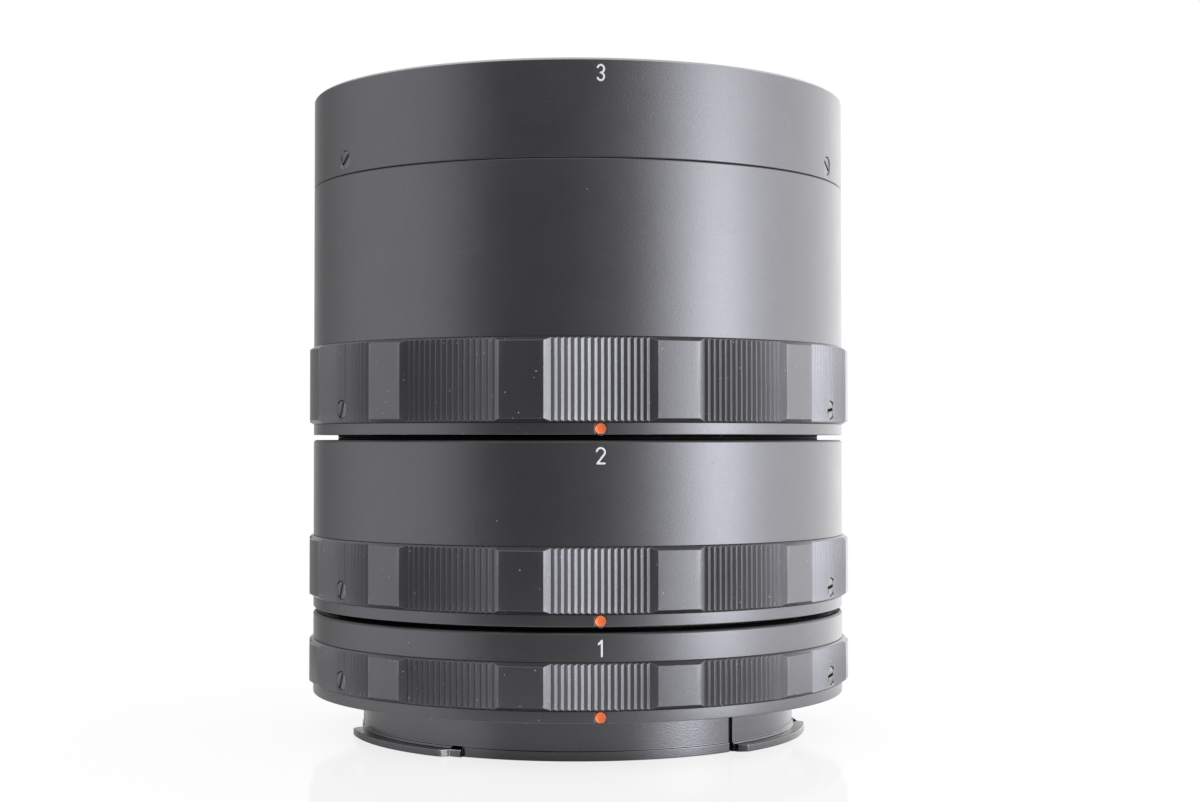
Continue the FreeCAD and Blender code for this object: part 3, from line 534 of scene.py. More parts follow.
def inside(columns, bearings, half, radius):
    """Arc in millimetres from a sector's nearer end, which is above 0 inside the sector."""
    return np.radians(half - np.abs(near(columns, bearings))) * radius


def stood(arc, height, ease):
    """Height of a sector above the ground: 0 outside it, and a quarter circle inside its ends."""
    rest = ease - np.clip(arc, 0.0, ease)
    return np.where(arc > 0, height - ease + np.sqrt(ease**2 - rest**2), 0.0)


class Turning:
    """A turned form as rows of radius, height and edge weight over columns of bearings."""

    def __init__(self, rows, columns, level):
        self.rows = rows
        self.columns = columns
        self.level = level

    def find(self, axis, wall, centre):
        """The row after which a straight side passes a centre, and which way the side runs."""
        along, other = self.rows[axis].max(axis=1), self.rows[1 - axis, :, 0]
        onwards = np.roll(other, -1)
        flat = (np.abs(along - wall) < 0.01) & (np.abs(np.roll(along, -1) - wall) < 0.01)
        row = int(np.flatnonzero(flat & ((other - centre) * (onwards - centre) < 0))[0])
        return row + 1, math.copysign(1.0, onwards[row] - other[row])

    def insert(self, row, axis, deep, away, weight):
        """Adds rows: deep is their place along one coordinate and away the other."""
        more = np.array([deep, away, weight] if axis == 0 else [away, deep, weight])
        self.rows = np.concatenate([self.rows[:, :row], more, self.rows[:, row:]], axis=1)

    def sink(self, wall, centre, bearings, hole, depth, flat=False):
        """Sinks round pockets into a straight side, to a depth from the wall's coordinate.

        A flat side is a ring, and its wall is its height. A side may fall below its wall between
        the columns, as teeth do. A pocket's rows are h = sqrt(hole^2 - s^2) to each side of its
        middle for s the arc from there: the chamfer's outer circle, its inner one and the floor.
        """
        axis = 1 if flat else 0
        row, way = self.find(axis, wall, centre)
        ground = wall if flat else self.rows[0, row - 1]
        arc = np.abs(np.radians(near(self.columns, bearings))) * (centre if flat else wall)
        outer, inner = (np.sqrt(np.maximum(reach**2 - arc**2, 0.0)) for reach in (hole + POCKET_EASE, hole))
        away = np.array([-outer, -inner, -inner, inner, inner, outer])
        away += HAIR * np.array([-3, -2, -1, 1, 2, 3])[:, None]
        drop = math.copysign(1.0, depth) * np.clip(hole + POCKET_EASE - arc, 0.0, POCKET_EASE)
        floor = np.where(arc < hole, depth + ground - wall, drop)
        deep = np.array([0 * drop, drop, floor, floor, drop, 0 * drop])
        self.insert(row, axis, ground - deep, centre + way * away, (drop != 0) * RIM_WEIGHTS)

    def slit(self, wall, first, second, arc, depth):
        """Sinks a square slit into a flat ring, between two radii and where arc is above 0."""
        row, way = self.find(1, wall, (first + second) / 2)
        across = [first, first + HAIR, second - HAIR, second][:: int(way)]
        floor = np.where(arc > 0, depth, 0.0)
        deep = np.array([0 * arc, floor, floor, 0 * arc])
        away = np.array([place + 0 * arc for place in across])
        self.insert(row, 1, wall - deep, away, 0 * away)

    def paint_shade(self, where, weight=1.0):
        """Marks places in seams and gaps, which the finish paints dark as painted shade."""
        self.rows[2] = np.where(where, -weight, self.rows[2])

    def form(self):
        """x = r sin(b), y = -r cos(b) for radius r and bearing b."""
        bearing = np.radians(self.columns)
        radius, height, edge = self.rows
        place = (radius * np.sin(bearing), -radius * np.cos(bearing), height + self.level)
        points = np.stack(place, axis=-1).reshape(-1, 3)
        return points, ring_faces(*radius.shape), edge.ravel()


def turned(corners, sizes, columns, k):
    """A turned form of tube k from its corners, all eased alike."""
    return Turning(eased(corners, len(columns), sizes.edge_ease / MM), columns, LEVEL[k])


def lathed(profile, around):
    """A knob on a local axis: rings of radius r at height w, both poles zipped shut."""
    radius, height, edge = np.array(profile).T[:, :, None]
    angle = np.linspace(0.0, 2 * math.pi, around, endpoint=False)
    points = np.stack([radius * np.cos(angle), radius * np.sin(angle), height + 0 * angle], axis=-1)
    return points.reshape(-1, 3), capped_faces(len(radius), around), (edge + 0 * angle).ravel()


def slotted(radius, low, high, slot, depth):
    """A screw on a local axis with a slot along x: an outline across y, carried along x.

    At x its rim is sqrt(radius^2 - x^2) wide. The face is flat, and within ease of the rim it falls
    by as much as sqrt(x^2 + y^2) passes radius - ease. Past the ends of the slot's walls, where the
    rim is narrower than the slot, the face lies at the slot's floor.
    """
    ease = 0.12
    face = radius - ease
    half = slot / 2
    wall = half + 0.05
    reach = math.sqrt(radius**2 - (wall + 0.01) ** 2)
    swing = radius * np.sin(np.radians(np.linspace(-89.0, 89.0, 31)))
    extra = [reach - HAIR, reach + HAIR, face]
    along = np.unique(np.r_[swing, extra, np.negative(extra)])
    rim = np.sqrt(radius**2 - along**2)
    closed = np.abs(along) < reach
    across = [rim, np.maximum(np.sqrt(np.maximum(face**2 - along**2, 0.0)), wall + 0.005), wall + 0 * rim]
    heights = [high - np.clip(np.hypot(along, place) - face, 0.0, ease) for place in across]
    across += [half + 0 * rim, half - HAIR + 0 * rim]
    heights += [heights[2] - 0.05, high - depth + 0 * rim]
    outline = [(rim, low + 0 * along, 0.0)]
    for row, (place, height, edge) in enumerate(zip(across, heights, (1.0, 0.5, 0.0, 0.8, 0.0))):
        ended = rim * (0.97 - 0.1 * row), high - depth + HAIR * (row - 4)
        outline.append((np.where(closed, place, ended[0]), np.where(closed, height, ended[1]), edge))
    right = np.array([[along, y, w, e + 0 * along] for y, w, e in outline])
    left = right[::-1] * np.array([1, -1, 1, 1])[:, None]
    rows = np.r_[right, left].transpose(2, 0, 1)
    return rows[:, :, :3].reshape(-1, 3), capped_faces(*rows.shape[:2]), rows[:, :, 3].ravel()


def placed(form, stand, spin=0.0):
    """A form on a local axis, spun about it and carried to its stand: p = c + x t + y u + w o."""
    points, faces, edge = form
    axes, centre = stand
    along, out, up = directions(spin)
    return points @ np.array([along, -out, up]) @ np.array(axes) + centre, faces, edge


def directions(bearing):
    """Unit vectors round the axis, outwards and up."""
    cosine, sine = math.cos(math.radians(bearing)), math.sin(math.radians(bearing))
    return np.array([[cosine, sine, 0.0], [sine, -cosine, 0.0], [0.0, 0.0, 1.0]])


def facing_out(bearing, height):
    """Stand of something that faces outwards, whose local height is its radius."""
    along, out, up = directions(bearing)
    return (along, up, out), height * up


def facing_along(bearing, place, height, way):
    """Stand of something that faces along the optical axis, up or down."""
    along, out, up = directions(bearing)
    return (along, -way * out, way * up), place * out + height * up


def lengthened(path, more):
    """A path with both ends carried on straight, for the round ends of its stroke."""
    path = np.asarray(path, float)
    first, last = path[0] - path[1], path[-1] - path[-2]
    ends = path[0] + first / np.linalg.norm(first) * more, path[-1] + last / np.linalg.norm(last) * more
    return np.r_[[ends[0]], path, [ends[1]]]


def stroke(path, radius, height, width):
    """A painted stroke with round ends on an upright wall, along a path of arcs and heights.

    Its outline is a low half ellipse across the path. Within half a width of an end, at distance
    d, it is sqrt(1 - (1 - 2 d / width)^2) as wide.
    """
    path = lengthened(path, width / 2)
    run = np.r_[0.0, np.cumsum(np.linalg.norm(np.diff(path, axis=0), axis=1))]
    ends = width / 2 * (1 - np.cos(np.radians(np.linspace(6.0, 90.0, 9))))
    middle = np.linspace(width / 2, run[-1] - width / 2, 40)
    stations = np.r_[ends[:-1], middle, run[-1] - ends[-2::-1]]
    place = np.stack([np.interp(stations, run, path[:, side]) for side in (0, 1)], axis=1)
    way = np.gradient(place, stations, axis=0)
    way /= np.linalg.norm(way, axis=1, keepdims=True)
    distance = np.minimum(stations, run[-1] - stations)
    narrow = np.sqrt(1 - (1 - np.clip(2 * distance / width, 0, 1)) ** 2)
    angle = np.radians([0.0, 25.0, 50.0, 78.0, 102.0, 130.0, 155.0, 180.0])
    across = np.cos(np.r_[0.0, angle, math.pi])
    proud = np.r_[-0.06, 0.006 + 0.02 * np.sin(angle), -0.06]
    across = across * narrow[:, None] * width / 2
    arc = place[:, :1] - across * way[:, 1:]
    rise = place[:, 1:] + across * way[:, :1]
    out = radius + proud + 0 * arc
    points = np.stack([out * np.sin(arc / radius), -out * np.cos(arc / radius), rise + height], axis=-1)
    edge = np.r_[1.0, 1.0, np.zeros(6), 1.0, 1.0] + 0 * arc
    return points.reshape(-1, 3), capped_faces(*arc.shape), edge.ravel()


def bow(centre, radius, start, end):
    """Points of an arc between two angles in degrees."""
    angle = np.radians(np.linspace(start, end, 24))
    return np.stack([centre[0] + radius * np.cos(angle), centre[1] + radius * np.sin(angle)], axis=1)


# The pieces


def settings():
    """The sizes, which are in metres, and the finish."""
    scene = bpy.context.scene
    return scene.tube_sizes, scene.tube_finish


def front(k):
    """Height of tube k's front seat above its own level."""
    return SEAT[k] - LEVEL[k]


def under(radius, *corners):
    """Corners given by their depths under a radius and their heights."""
    return [(radius - depth, height) for depth, height in corners]


def front_corners(radius, k, columns):
    """Corners of a front end, from its rim round to the baffle's step, with the latch's pocket."""
    rim, away = front(k) - RIM_DROP, near(columns, [LATCH_MIDDLE])
    pocket = inside(columns, [LATCH_MIDDLE], LATCH_HALF, radius) > 0
    floor = np.where(away < LATCH_SHELF, front(k) - 4.9, front(k) - 6.0)
    deep = np.where(pocket, 1.7, 4.2)
    return under(
        radius,
        (0.0, rim - 0.3),
        (0.3, rim),
        (1.4, rim),
        (1.4, rim - 1.2),
        (deep, rim - 1.2 - HAIR),
        (deep, np.where(pocket, floor, front(k) - 6.1)),
        (4.2, np.where(pocket, floor - HAIR, front(k) - 6.2)),
        (4.2, front(k) - 7.5),
        (WALL_DEPTH, front(k) - 7.5),
    )


def shell_columns(radius):
    """Columns of a barrel or collar, with those of its button and latch pocket."""
    latch = end_columns([LATCH_MIDDLE], LATCH_HALF, radius)
    shelf = spread([LATCH_MIDDLE + LATCH_SHELF], [-HAIR, HAIR], radius)
    return [pocket_columns([BUTTON_BEARING], radius, BUTTON_HOLE), latch, shelf]


class TUBES_OT_barrels(bpy.types.Operator):
    """Turned outer barrels"""

    bl_idname = "tubes.barrels"
    bl_label = "Barrels"

    def execute(self, context):
        sizes, finish = settings()
        material = anodised("barrel", finish)
        radius = sizes.barrel_radius / MM
        for k in TUBES:
            columns = bearings_round(1.5, *(shell_columns(radius) if k != LAST else []))
            low, top = GRIP[k][0] - LEVEL[k], GRIP[k][1] - GRIP_TRIM - LEVEL[k]
            corners = under(radius, (WALL_DEPTH, low), (1.0, low), (1.0, top), (0.0, top))
            if k == LAST:
                seam = SEAM - LEVEL[k]
                corners += under(radius, (0.0, seam - SEAM_EASE), (SEAM_EASE, seam), (1.6, seam))
                corners += under(radius, (1.6, seam + 6.0), (3.4, seam + 6.0), (3.4, seam - 4.0))
                corners += under(radius, (THIN_DEPTH, seam - 5.0))
            else:
                corners += front_corners(radius, k, columns)
            if k == 2:
                corners += under(radius, (WALL_DEPTH, front(k) - 11.5), (THIN_DEPTH, front(k) - 11.5))
            if k > 1:
                corners += under(radius, (THIN_DEPTH, low + 4.0), (WALL_DEPTH, low + 4.0))
            shell = turned(corners, sizes, columns, k)
            # Painted shade: the seam, or the outer rim beside the gap under the next tube, is painted darker.
            if k == LAST:
                shell.paint_shade(np.abs(shell.rows[1] - seam) < 0.2, 0.4)
            else:
                shell.paint_shade((shell.rows[0] > radius - 1.0) & (shell.rows[1] > front(k) - 0.76), 0.4)
                shell.sink(radius, front(k) - BUTTON_DROP, [BUTTON_BEARING], BUTTON_HOLE, 1.2)
            stand_in("barrel", k, material, [shell.form()], "barrel_black")
        return {"FINISHED"}


class TUBES_OT_collar(bpy.types.Operator):
    """Front collar of the longest tube"""

    bl_idname = "tubes.collar"
    bl_label = "Collar"

    def execute(self, context):
        sizes, finish = settings()
        radius = sizes.barrel_radius / MM
        seam = SEAM - LEVEL[LAST]
        screws = pocket_columns(LUG_BEARINGS, radius, SCREW_HOLE)
        columns = bearings_round(1.5, screws, *shell_columns(radius))
        corners = under(radius, (1.55, seam), (SEAM_EASE, seam), (0.0, seam + SEAM_EASE))
        corners += front_corners(radius, LAST, columns)
        corners += under(radius, (WALL_DEPTH, seam + 6.0), (1.55, seam + 6.0))
        shell = turned(corners, sizes, columns, LAST)
        # Painted shade: the seam is painted darker.
        shell.paint_shade(np.abs(shell.rows[1] - seam) < 0.2, 0.4)
        # Painted highlight: the outer edge of the front rim is painted lighter, towards bare metal, as a
        # bright line.
        rim_highlight = (shell.rows[0] > radius - 0.32) & (shell.rows[1] > front(LAST) - 0.72)
        shell.rows[2] = np.maximum(shell.rows[2], rim_highlight * 0.9)
        shell.sink(radius, seam + COLLAR_SCREW_RISE, LUG_BEARINGS, SCREW_HOLE, 0.5)
        shell.sink(radius, front(LAST) - BUTTON_DROP, [BUTTON_BEARING], BUTTON_HOLE, 1.2)
        # The collar's eased edges get a stronger painted highlight, towards bare metal.
        material = anodised("collar", finish, tone=0.97, edge_thinning_and_highlight=0.35)
        piece("collar", material, [shell.form()], f"tube_{LAST}", "barrel_black", f"tube_{LAST}_collar")
        return {"FINISHED"}


def toothed(columns, sizes):
    """Radius of the knurl and weight of its crests: panels, slopes down to the lands and V teeth.

    A tooth's radius falls in a straight line from its crest to the roots half a pitch away.
    """
    panel = sizes.grip_radius / MM
    root = panel - sizes.land_drop / MM
    crest = root + sizes.tooth_depth / MM
    away = near(columns, np.arange(LANDS) * 360.0 / LANDS)
    phase = np.abs(away / TOOTH_PITCH - np.round(away / TOOTH_PITCH))
    tooth = np.interp(phase, [CREST_SHARE, 0.5 - ROOT_SHARE], [crest, root])
    slope = np.interp(np.abs(away), [LAND_HALF, LAND_HALF + SLOPE], [root, panel])
    on_land = np.abs(away) < LAND_HALF
    rim = np.abs(np.abs(away) - LAND_HALF - SLOPE) < 0.06
    return np.where(on_land, tooth, slope), rim | (on_land & (phase < 1.3 * CREST_SHARE))


def knurl_columns():
    """Columns at both sides of every crest and root, at the slopes' ends and across the panels."""
    crests = (np.arange(TEETH) - (TEETH - 1) / 2) * TOOTH_PITCH
    roots = crests[:-1] + TOOTH_PITCH / 2
    sides = [crests - CREST_SHARE * TOOTH_PITCH, crests + CREST_SHARE * TOOTH_PITCH]
    sides += [roots - ROOT_SHARE * TOOTH_PITCH, roots + ROOT_SHARE * TOOTH_PITCH]
    edge = LAND_HALF + np.array([-0.02, 0.02, SLOPE - 0.05, SLOPE, SLOPE + 0.05, SLOPE + 1.4])
    period = np.concatenate([*sides, -edge, edge, [180.0 / LANDS]])
    return (period[None, :] + np.arange(LANDS)[:, None] * 360.0 / LANDS).ravel()


class TUBES_OT_grips(bpy.types.Operator):
    """Grip rings: raised smooth panels and sunken toothed lands"""

    bl_idname = "tubes.grips"
    bl_label = "Grip rings"

    def execute(self, context):
        sizes, finish = settings()
        material = anodised("grip", finish, dusty=1.0)
        panel, inner = sizes.grip_radius / MM, sizes.barrel_radius / MM - 0.95
        chamfer, shoulder = sizes.grip_chamfer / MM, sizes.grip_shoulder / MM
        columns = bearings_round(360.0, knurl_columns(), pocket_columns(LUG_BEARINGS, panel, SCREW_HOLE))
        radius, on_crest = toothed(columns, sizes)
        for k in TUBES:
            low, high = GRIP[k][0], GRIP[k][1] - GRIP_TRIM
            cut = chamfer * (1 - (panel - radius) / shoulder)
            corners = [
                (inner, low),
                (panel - shoulder, low),
                (radius, low + cut),
                (radius, high - cut),
                (panel - shoulder, high),
                (inner, high),
            ]
            knurl = Turning(eased(corners, len(columns), GRIP_EASE), columns, 0.0)
            knurl.rows[2] = np.maximum(knurl.rows[2] * 0.4, on_crest * (knurl.rows[0] > radius - 0.01) * 0.6)
            knurl.sink(panel, low + GRIP_SCREW_RISE, LUG_BEARINGS, SCREW_HOLE, 1.3)
            stand_in("grip_ring", k, material, [knurl.form()], "grip_black")
        return {"FINISHED"}


class TUBES_OT_rear_mounts(bpy.types.Operator):
    """Rear mounts: flange and male bayonet with three lugs, three end blocks and three key slots"""

    bl_idname = "tubes.rear_mounts"
    bl_label = "Rear mounts"

    def execute(self, context):
        sizes, finish = settings()
        radius, barrel = sizes.bayonet_radius / MM, sizes.barrel_radius / MM
        seat, lug = sizes.seat_radius / MM, sizes.lug_radius / MM
        bore, band = radius - 2.5, radius + 0.2
        face, ledge = 6.4 + 10 * HAIR, 1.45
        material = anodised("mount", finish, dusty=0.25, rubbed=lug + 0.5)
        slots = [bearing - LUG_HALF - 1.2 for bearing in LUG_BEARINGS]
        bends = [bearing + place for bearing in LUG_BEARINGS for place, _ in LUG_SHAPE]
        slot_half = math.degrees(0.4 / radius)
        columns = bearings_round(
            1.5,
            spread(bends, [-0.03, 0.0, 0.03], lug),
            end_columns(slots, slot_half, radius),
            pocket_columns([0.0], barrel, DOT_HOLE),
            pocket_columns(SCREW_BEARINGS, SCREW_PLACE, MOUNT_HOLE),
        )
        away = near(columns, LUG_BEARINGS)
        rise = np.interp(away, *np.transpose(LUG_SHAPE))
        block = (away > BLOCK[0]) & (away < BLOCK[1])
        on_lug = (rise > 0) & ~block
        slot = inside(columns, slots, slot_half, radius) > 0
        wall = np.where(slot, radius - 0.5, radius)
        shelf = np.where(slot, radius - 0.5, band)
        low = shelf + rise * (lug - band)
        corners = [
            (bore, 0.0),
            (low, 0.0),
            (low, 1.1),
            (np.where(block, band + 0.05, shelf), np.where(on_lug, 1.1 + HAIR, np.where(block, ledge, 1.2))),
            (np.where(block, radius + 0.1, shelf), np.where(block, 1.53, ledge)),
            (wall, np.where(block, 1.58, ledge + HAIR)),
            (wall, face),
            (seat, face),
            (seat, FLANGE[0]),
            (barrel, FLANGE[0]),
            (barrel, FLANGE[1]),
            (barrel - 5.5, FLANGE[1]),
            (barrel - 5.5, 9.8),
            (barrel - 6.7, 9.8),
            (barrel - 6.7, FLANGE[1]),
            (radius - 0.3, FLANGE[1]),
            (radius - 0.3, 7.2),
            (bore, 7.2),
        ]
        rub = 1.7 * np.exp(-(((away - 22.7) / 0.9) ** 2)) + 1.3 * np.exp(-(((away + 20.7) / 0.4) ** 2))
        rub += 0.5 * block
        for k in TUBES:
            mount = turned(corners, sizes, columns, k)
            mount.rows[2] += rub * (mount.rows[0] > band + 0.2) * (mount.rows[1] < 1.3)
            # Painted shade: the seat's wall in the gap under the flange is painted nearly black.
            mount.paint_shade(np.abs(mount.rows[0] - seat) < 0.2)
            mount.sink(barrel, DOT_RISE, [0.0], DOT_HOLE, 0.5)
            mount.sink(FLANGE[0], SCREW_PLACE, SCREW_BEARINGS, MOUNT_HOLE, -0.4, flat=True)
            stand_in("rear_mount", k, material, [mount.form()], "mount_black")
        return {"FINISHED"}


class TUBES_OT_front_mounts(bpy.types.Operator):
    """Front mounts: seat ring and female bayonet with three claws"""

    bl_idname = "tubes.front_mounts"
    bl_label = "Front mounts"

    def execute(self, context):
        sizes, finish = settings()
        material = anodised("socket", finish, dusty=0.25)
        seat, socket = sizes.seat_radius / MM, sizes.socket_radius / MM
        claw_radius = sizes.bayonet_radius / MM + 0.15
        groove, outer = socket + 0.5, socket + 1.6
        columns = bearings_round(
            1.5,
            end_columns(LUG_BEARINGS, CLAW_HALF, claw_radius),
            pocket_columns(SCREW_BEARINGS, SCREW_PLACE, MOUNT_HOLE),
            pocket_columns([LOCK_BEARING], SCREW_PLACE, LOCK_HOLE),
        )
        rise = stood(inside(columns, LUG_BEARINGS, CLAW_HALF, claw_radius), groove - claw_radius, 0.2)
        claw = rise > 0
        bore = groove - rise
        for k in TUBES:
            top = front(k)
            corners = [
                (groove, top - LEDGE_DROP),
                (outer, top - LEDGE_DROP),
                (outer, top - 1.6),
                (socket + 4.55, top - 1.6),
                (socket + 4.55, top - RIM_DROP),
                (seat, top - RIM_DROP),
                (seat, top),
                (socket, top),
                (socket, top - 3.0 + 2 * HAIR),
                (bore, top - 3.0),
                (bore, np.where(claw, top - 4.8, top - 4.7)),
                (groove, top - 4.8 - HAIR),
            ]
            mount = turned(corners, sizes, columns, k)
            # Painted shade: the seat's wall in the gap under the next tube is painted nearly black.
            mount.paint_shade((np.abs(mount.rows[0] - seat) < 0.2) & (mount.rows[1] < top - 0.1))
            mount.sink(top - RIM_DROP, SCREW_PLACE, SCREW_BEARINGS, MOUNT_HOLE, 0.4, flat=True)
            mount.sink(top - RIM_DROP, SCREW_PLACE, [LOCK_BEARING], LOCK_HOLE, 0.8, flat=True)
            stand_in("front_mount", k, material, [mount.form()], "mount_black")
        return {"FINISHED"}


class TUBES_OT_baffles(bpy.types.Operator):
    """Matt inner tubes with fine ridges against stray light"""

    bl_idname = "tubes.baffles"
    bl_label = "Light baffles"

    def execute(self, context):
        sizes, finish = settings()
        material = matt("matt_black_baffle", (0.012, 0.012, 0.013), 0.62)
        bore, wall = BAFFLE_BORE, BAFFLE_BORE + 0.8
        outside = sizes.socket_radius / MM + 1.6
        ends = [SLIT_BEARING - SLIT_HALF, SLIT_BEARING + SLIT_HALF]
        columns = bearings_round(2.0, spread(ends, [-HAIR, HAIR], wall))
        arc = inside(columns, [SLIT_BEARING], SLIT_HALF, wall)
        for k in TUBES:
            over = front(k) - LEDGE_DROP
            corners = [
                (wall, 0.8),
                (wall, over - 0.8),
                (outside, over - 0.8),
                (outside, over),
                (wall, over),
                (wall, over + 0.7),
                (bore, over + 0.7),
            ]
            outline = eased(corners, len(columns), 0.1)
            ridges = np.arange(over - 0.2, 1.6, -0.45)
            depth = np.where(np.arange(len(ridges)) % 2, 0.16, 0.0)
            inner = [[bore + deep + 0 * arc, place + 0 * arc, 0 * arc] for deep, place in zip(depth, ridges)]
            inner += [[bore + 0 * arc, 0.8 + 0 * arc, 0 * arc]]
            rows = np.concatenate([outline, np.array(inner).transpose(1, 0, 2)], axis=1)
            baffle = Turning(rows, columns, LEVEL[k])
            baffle.slit(over, wall + 0.2, wall + 2.0, arc, 0.78)
            stand_in("light_baffle", k, material, [baffle.form()], "baffle_black")
        return {"FINISHED"}


class TUBES_OT_screws(bpy.types.Operator):
    """Slotted screws of the grips, the collar and the mounts"""

    bl_idname = "tubes.screws"
    bl_label = "Slotted screws"

    def execute(self, context):
        sizes, finish = settings()
        material = bare("blackened_steel", (0.085, 0.085, 0.09), 0.33)
        panel, barrel = sizes.grip_radius / MM, sizes.barrel_radius / MM
        side = {"grip": slotted(1.4, barrel - 1.7, panel - 0.6, 0.45, 0.6)}
        side["collar"] = slotted(1.4, barrel - 3.0, barrel - 0.15, 0.45, 0.6)
        end = slotted(1.1, -3.4, 0.0, 0.4, 0.5)
        for k in TUBES:
            sets = {"grip": GRIP[k][0] + GRIP_SCREW_RISE}
            if k == LAST:
                sets["collar"] = SEAM + COLLAR_SCREW_RISE
            for name, height in sets.items():
                stands = [facing_out(bearing, height) for bearing in LUG_BEARINGS]
                forms = [placed(side[name], stand, spin) for stand, spin in zip(stands, SLOT_TURNS[name])]
                stand_in(f"{name}_screws", k, material, forms, "screw_black")
            faces = {"front_mount": (SEAT[k] - RIM_DROP, 1.0), "rear_mount": (LEVEL[k] + FLANGE[0], -1.0)}
            for name, (height, way) in faces.items():
                stands = [facing_along(bearing, SCREW_PLACE, height, way) for bearing in SCREW_BEARINGS]
                forms = [placed(end, stand, 37.0 * count + 20.0 * k) for count, stand in enumerate(stands)]
                stand_in(f"{name}_screws", k, material, forms, "screw_black")
        return {"FINISHED"}


class TUBES_OT_marks(bpy.types.Operator):
    """Index dots, whose paint dips in the middle, and painted numbers"""

    bl_idname = "tubes.marks"
    bl_label = "Index marks"

    def execute(self, context):
        sizes, finish = settings()
        dot_paint = enamel("index_enamel", finish.enamel, 0.28, 0.12, coat=0.6)
        white = enamel("number_paint", finish.paint, 0.5, 0.06)
        radius, width = sizes.barrel_radius / MM, sizes.digit_stroke / MM
        fall = np.radians(np.linspace(0.0, 88.0, 9))
        crest = radius - 0.03
        dish = [(0.82 * math.cos(angle), crest - 0.2 * math.sin(angle), angle < 0.1) for angle in fall]
        dot = lathed([(0.02, radius - 0.6, 0), (0.84, radius - 0.6, 0), (0.84, radius - 0.06, 1), *dish], 32)
        half = (sizes.digit_height / MM - width) / 2
        slim = np.array([0.86, 1.0])
        numbers = {
            1: [[(-0.3, half - 0.5), (0.15, half)], [(0.15, half), (0.15, -half)]],
            2: [[*bow((0.0, half - 0.6), 0.6, 166.0, -32.0), (-0.5, -half)], [(-0.5, -half), (0.56, -half)]],
            3: [slim * bow((0.0, side * half / 2), half / 2, side * 158.0, side * -92.0) for side in (1, -1)],
        }
        for k in TUBES:
            placed_dot = placed(dot, facing_out(0.0, LEVEL[k] + DOT_RISE))
            stand_in("index_dot", k, dot_paint, [placed_dot], "index_orange")
            height = SEAT[k] - NUMBER_DROP
            forms = [stroke(path, radius, height, width) for path in numbers[k]]
            piece(f"number_{k}", white, forms, f"tube_{k}", None)
        return {"FINISHED"}


class TUBES_OT_buttons(bpy.types.Operator):
    """Release buttons"""

    bl_idname = "tubes.buttons"
    bl_label = "Release buttons"

    def execute(self, context):
        sizes, finish = settings()
        material = anodised("button", finish, wear=0.4)
        radius = sizes.barrel_radius / MM
        profile = [(place, radius - BUTTON_SHANK + up, 0.0) for place, up in BUTTON_FOOT]
        profile += [(place, radius + BUTTON_PROUD - down, edge) for place, down, edge in BUTTON_HEAD]
        for k in TUBES:
            form = placed(lathed(profile, 40), facing_out(BUTTON_BEARING, SEAT[k] - BUTTON_DROP))
            stand_in("release_button", k, material, [form], "button_black", "release")
        return {"FINISHED"}


class TUBES_OT_inner_parts(bpy.types.Operator):
    """Springs, pins, transfer rings and covers, whose solids stay and get their finishes"""

    bl_idname = "tubes.inner_parts"
    bl_label = "Inner parts"

    def execute(self, context):
        steel = bare("spring_steel", (0.5, 0.5, 0.52), 0.26, streak=(5.0, 5.0, 0.4))
        pin = bare("ground_steel", (0.55, 0.55, 0.56), 0.22)
        brass = bare("machined_brass", (0.6, 0.43, 0.18), 0.3, contrast=0.25)
        black = matt("black_lacquer", (0.02, 0.02, 0.021), 0.5)
        dark = bare("black_oxide", (0.07, 0.07, 0.075), 0.38)
        finishes = {
            "lug_springs": steel,
            "stop_pin": pin,
            "latch_spring": steel,
            "return_spring": steel,
            "transfer_ring": brass,
            "transfer_cover": black,
            "cover_screws": dark,
        }
        for k in TUBES:
            for name, material in finishes.items():
                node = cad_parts[f"tube_{k}_{name}"]
                node.data.materials.clear()
                node.data.materials.append(material)
        return {"FINISHED"}


def make_floor():
    """A pale slab, which the camera and glossy metal see nearly white and which keeps the shadow."""
    foot = [(0.05, -FLOOR_THICKNESS, 0), (FLOOR_RADIUS, -FLOOR_THICKNESS, 0), (FLOOR_RADIUS, -FLOOR_EASE, 0)]
    points, faces, edge = lathed([*foot, (FLOOR_RADIUS - FLOOR_EASE, 0.0, 0), (0.05, 0.0, 0)], 96)
    mesh = bpy.data.meshes.new("floor")
    mesh.from_pydata(points * MM, [], faces)
    floor = bpy.data.objects.new("floor", mesh)
    bpy.context.scene.collection.objects.link(floor)
    finish = Finish("pale_floor")
    grain = finish.noise(3.0, 3.0, 0.5)
    paint = {
        "Base Color": finish.mixed(grain, (0.68, 0.68, 0.68), (0.72, 0.72, 0.72)),
        "Roughness": 0.08,
        "IOR": 1.8,
        "Normal": finish.bump(grain, 0.01, 0.1),
    }
    white = finish.node("Emission", {"Color": (1.0, 1.0, 1.0, 1.0), "Strength": 1.0})
    seen, shiny = finish.rays()
    sides = {1: finish.node("BsdfPrincipled", paint), 2: white}
    surface = finish.node("MixShader", {0: seen * 0.8 + shiny * 0.15, **sides})
    finish.node("OutputMaterial", {"Surface": surface})
    mesh.materials.append(finish.owner)


def dimmed(shade):
    """A radiance as a share of the brightest, because a ramp ends at 1."""
    return tuple(level / LIGHT_TOP for level in shade)


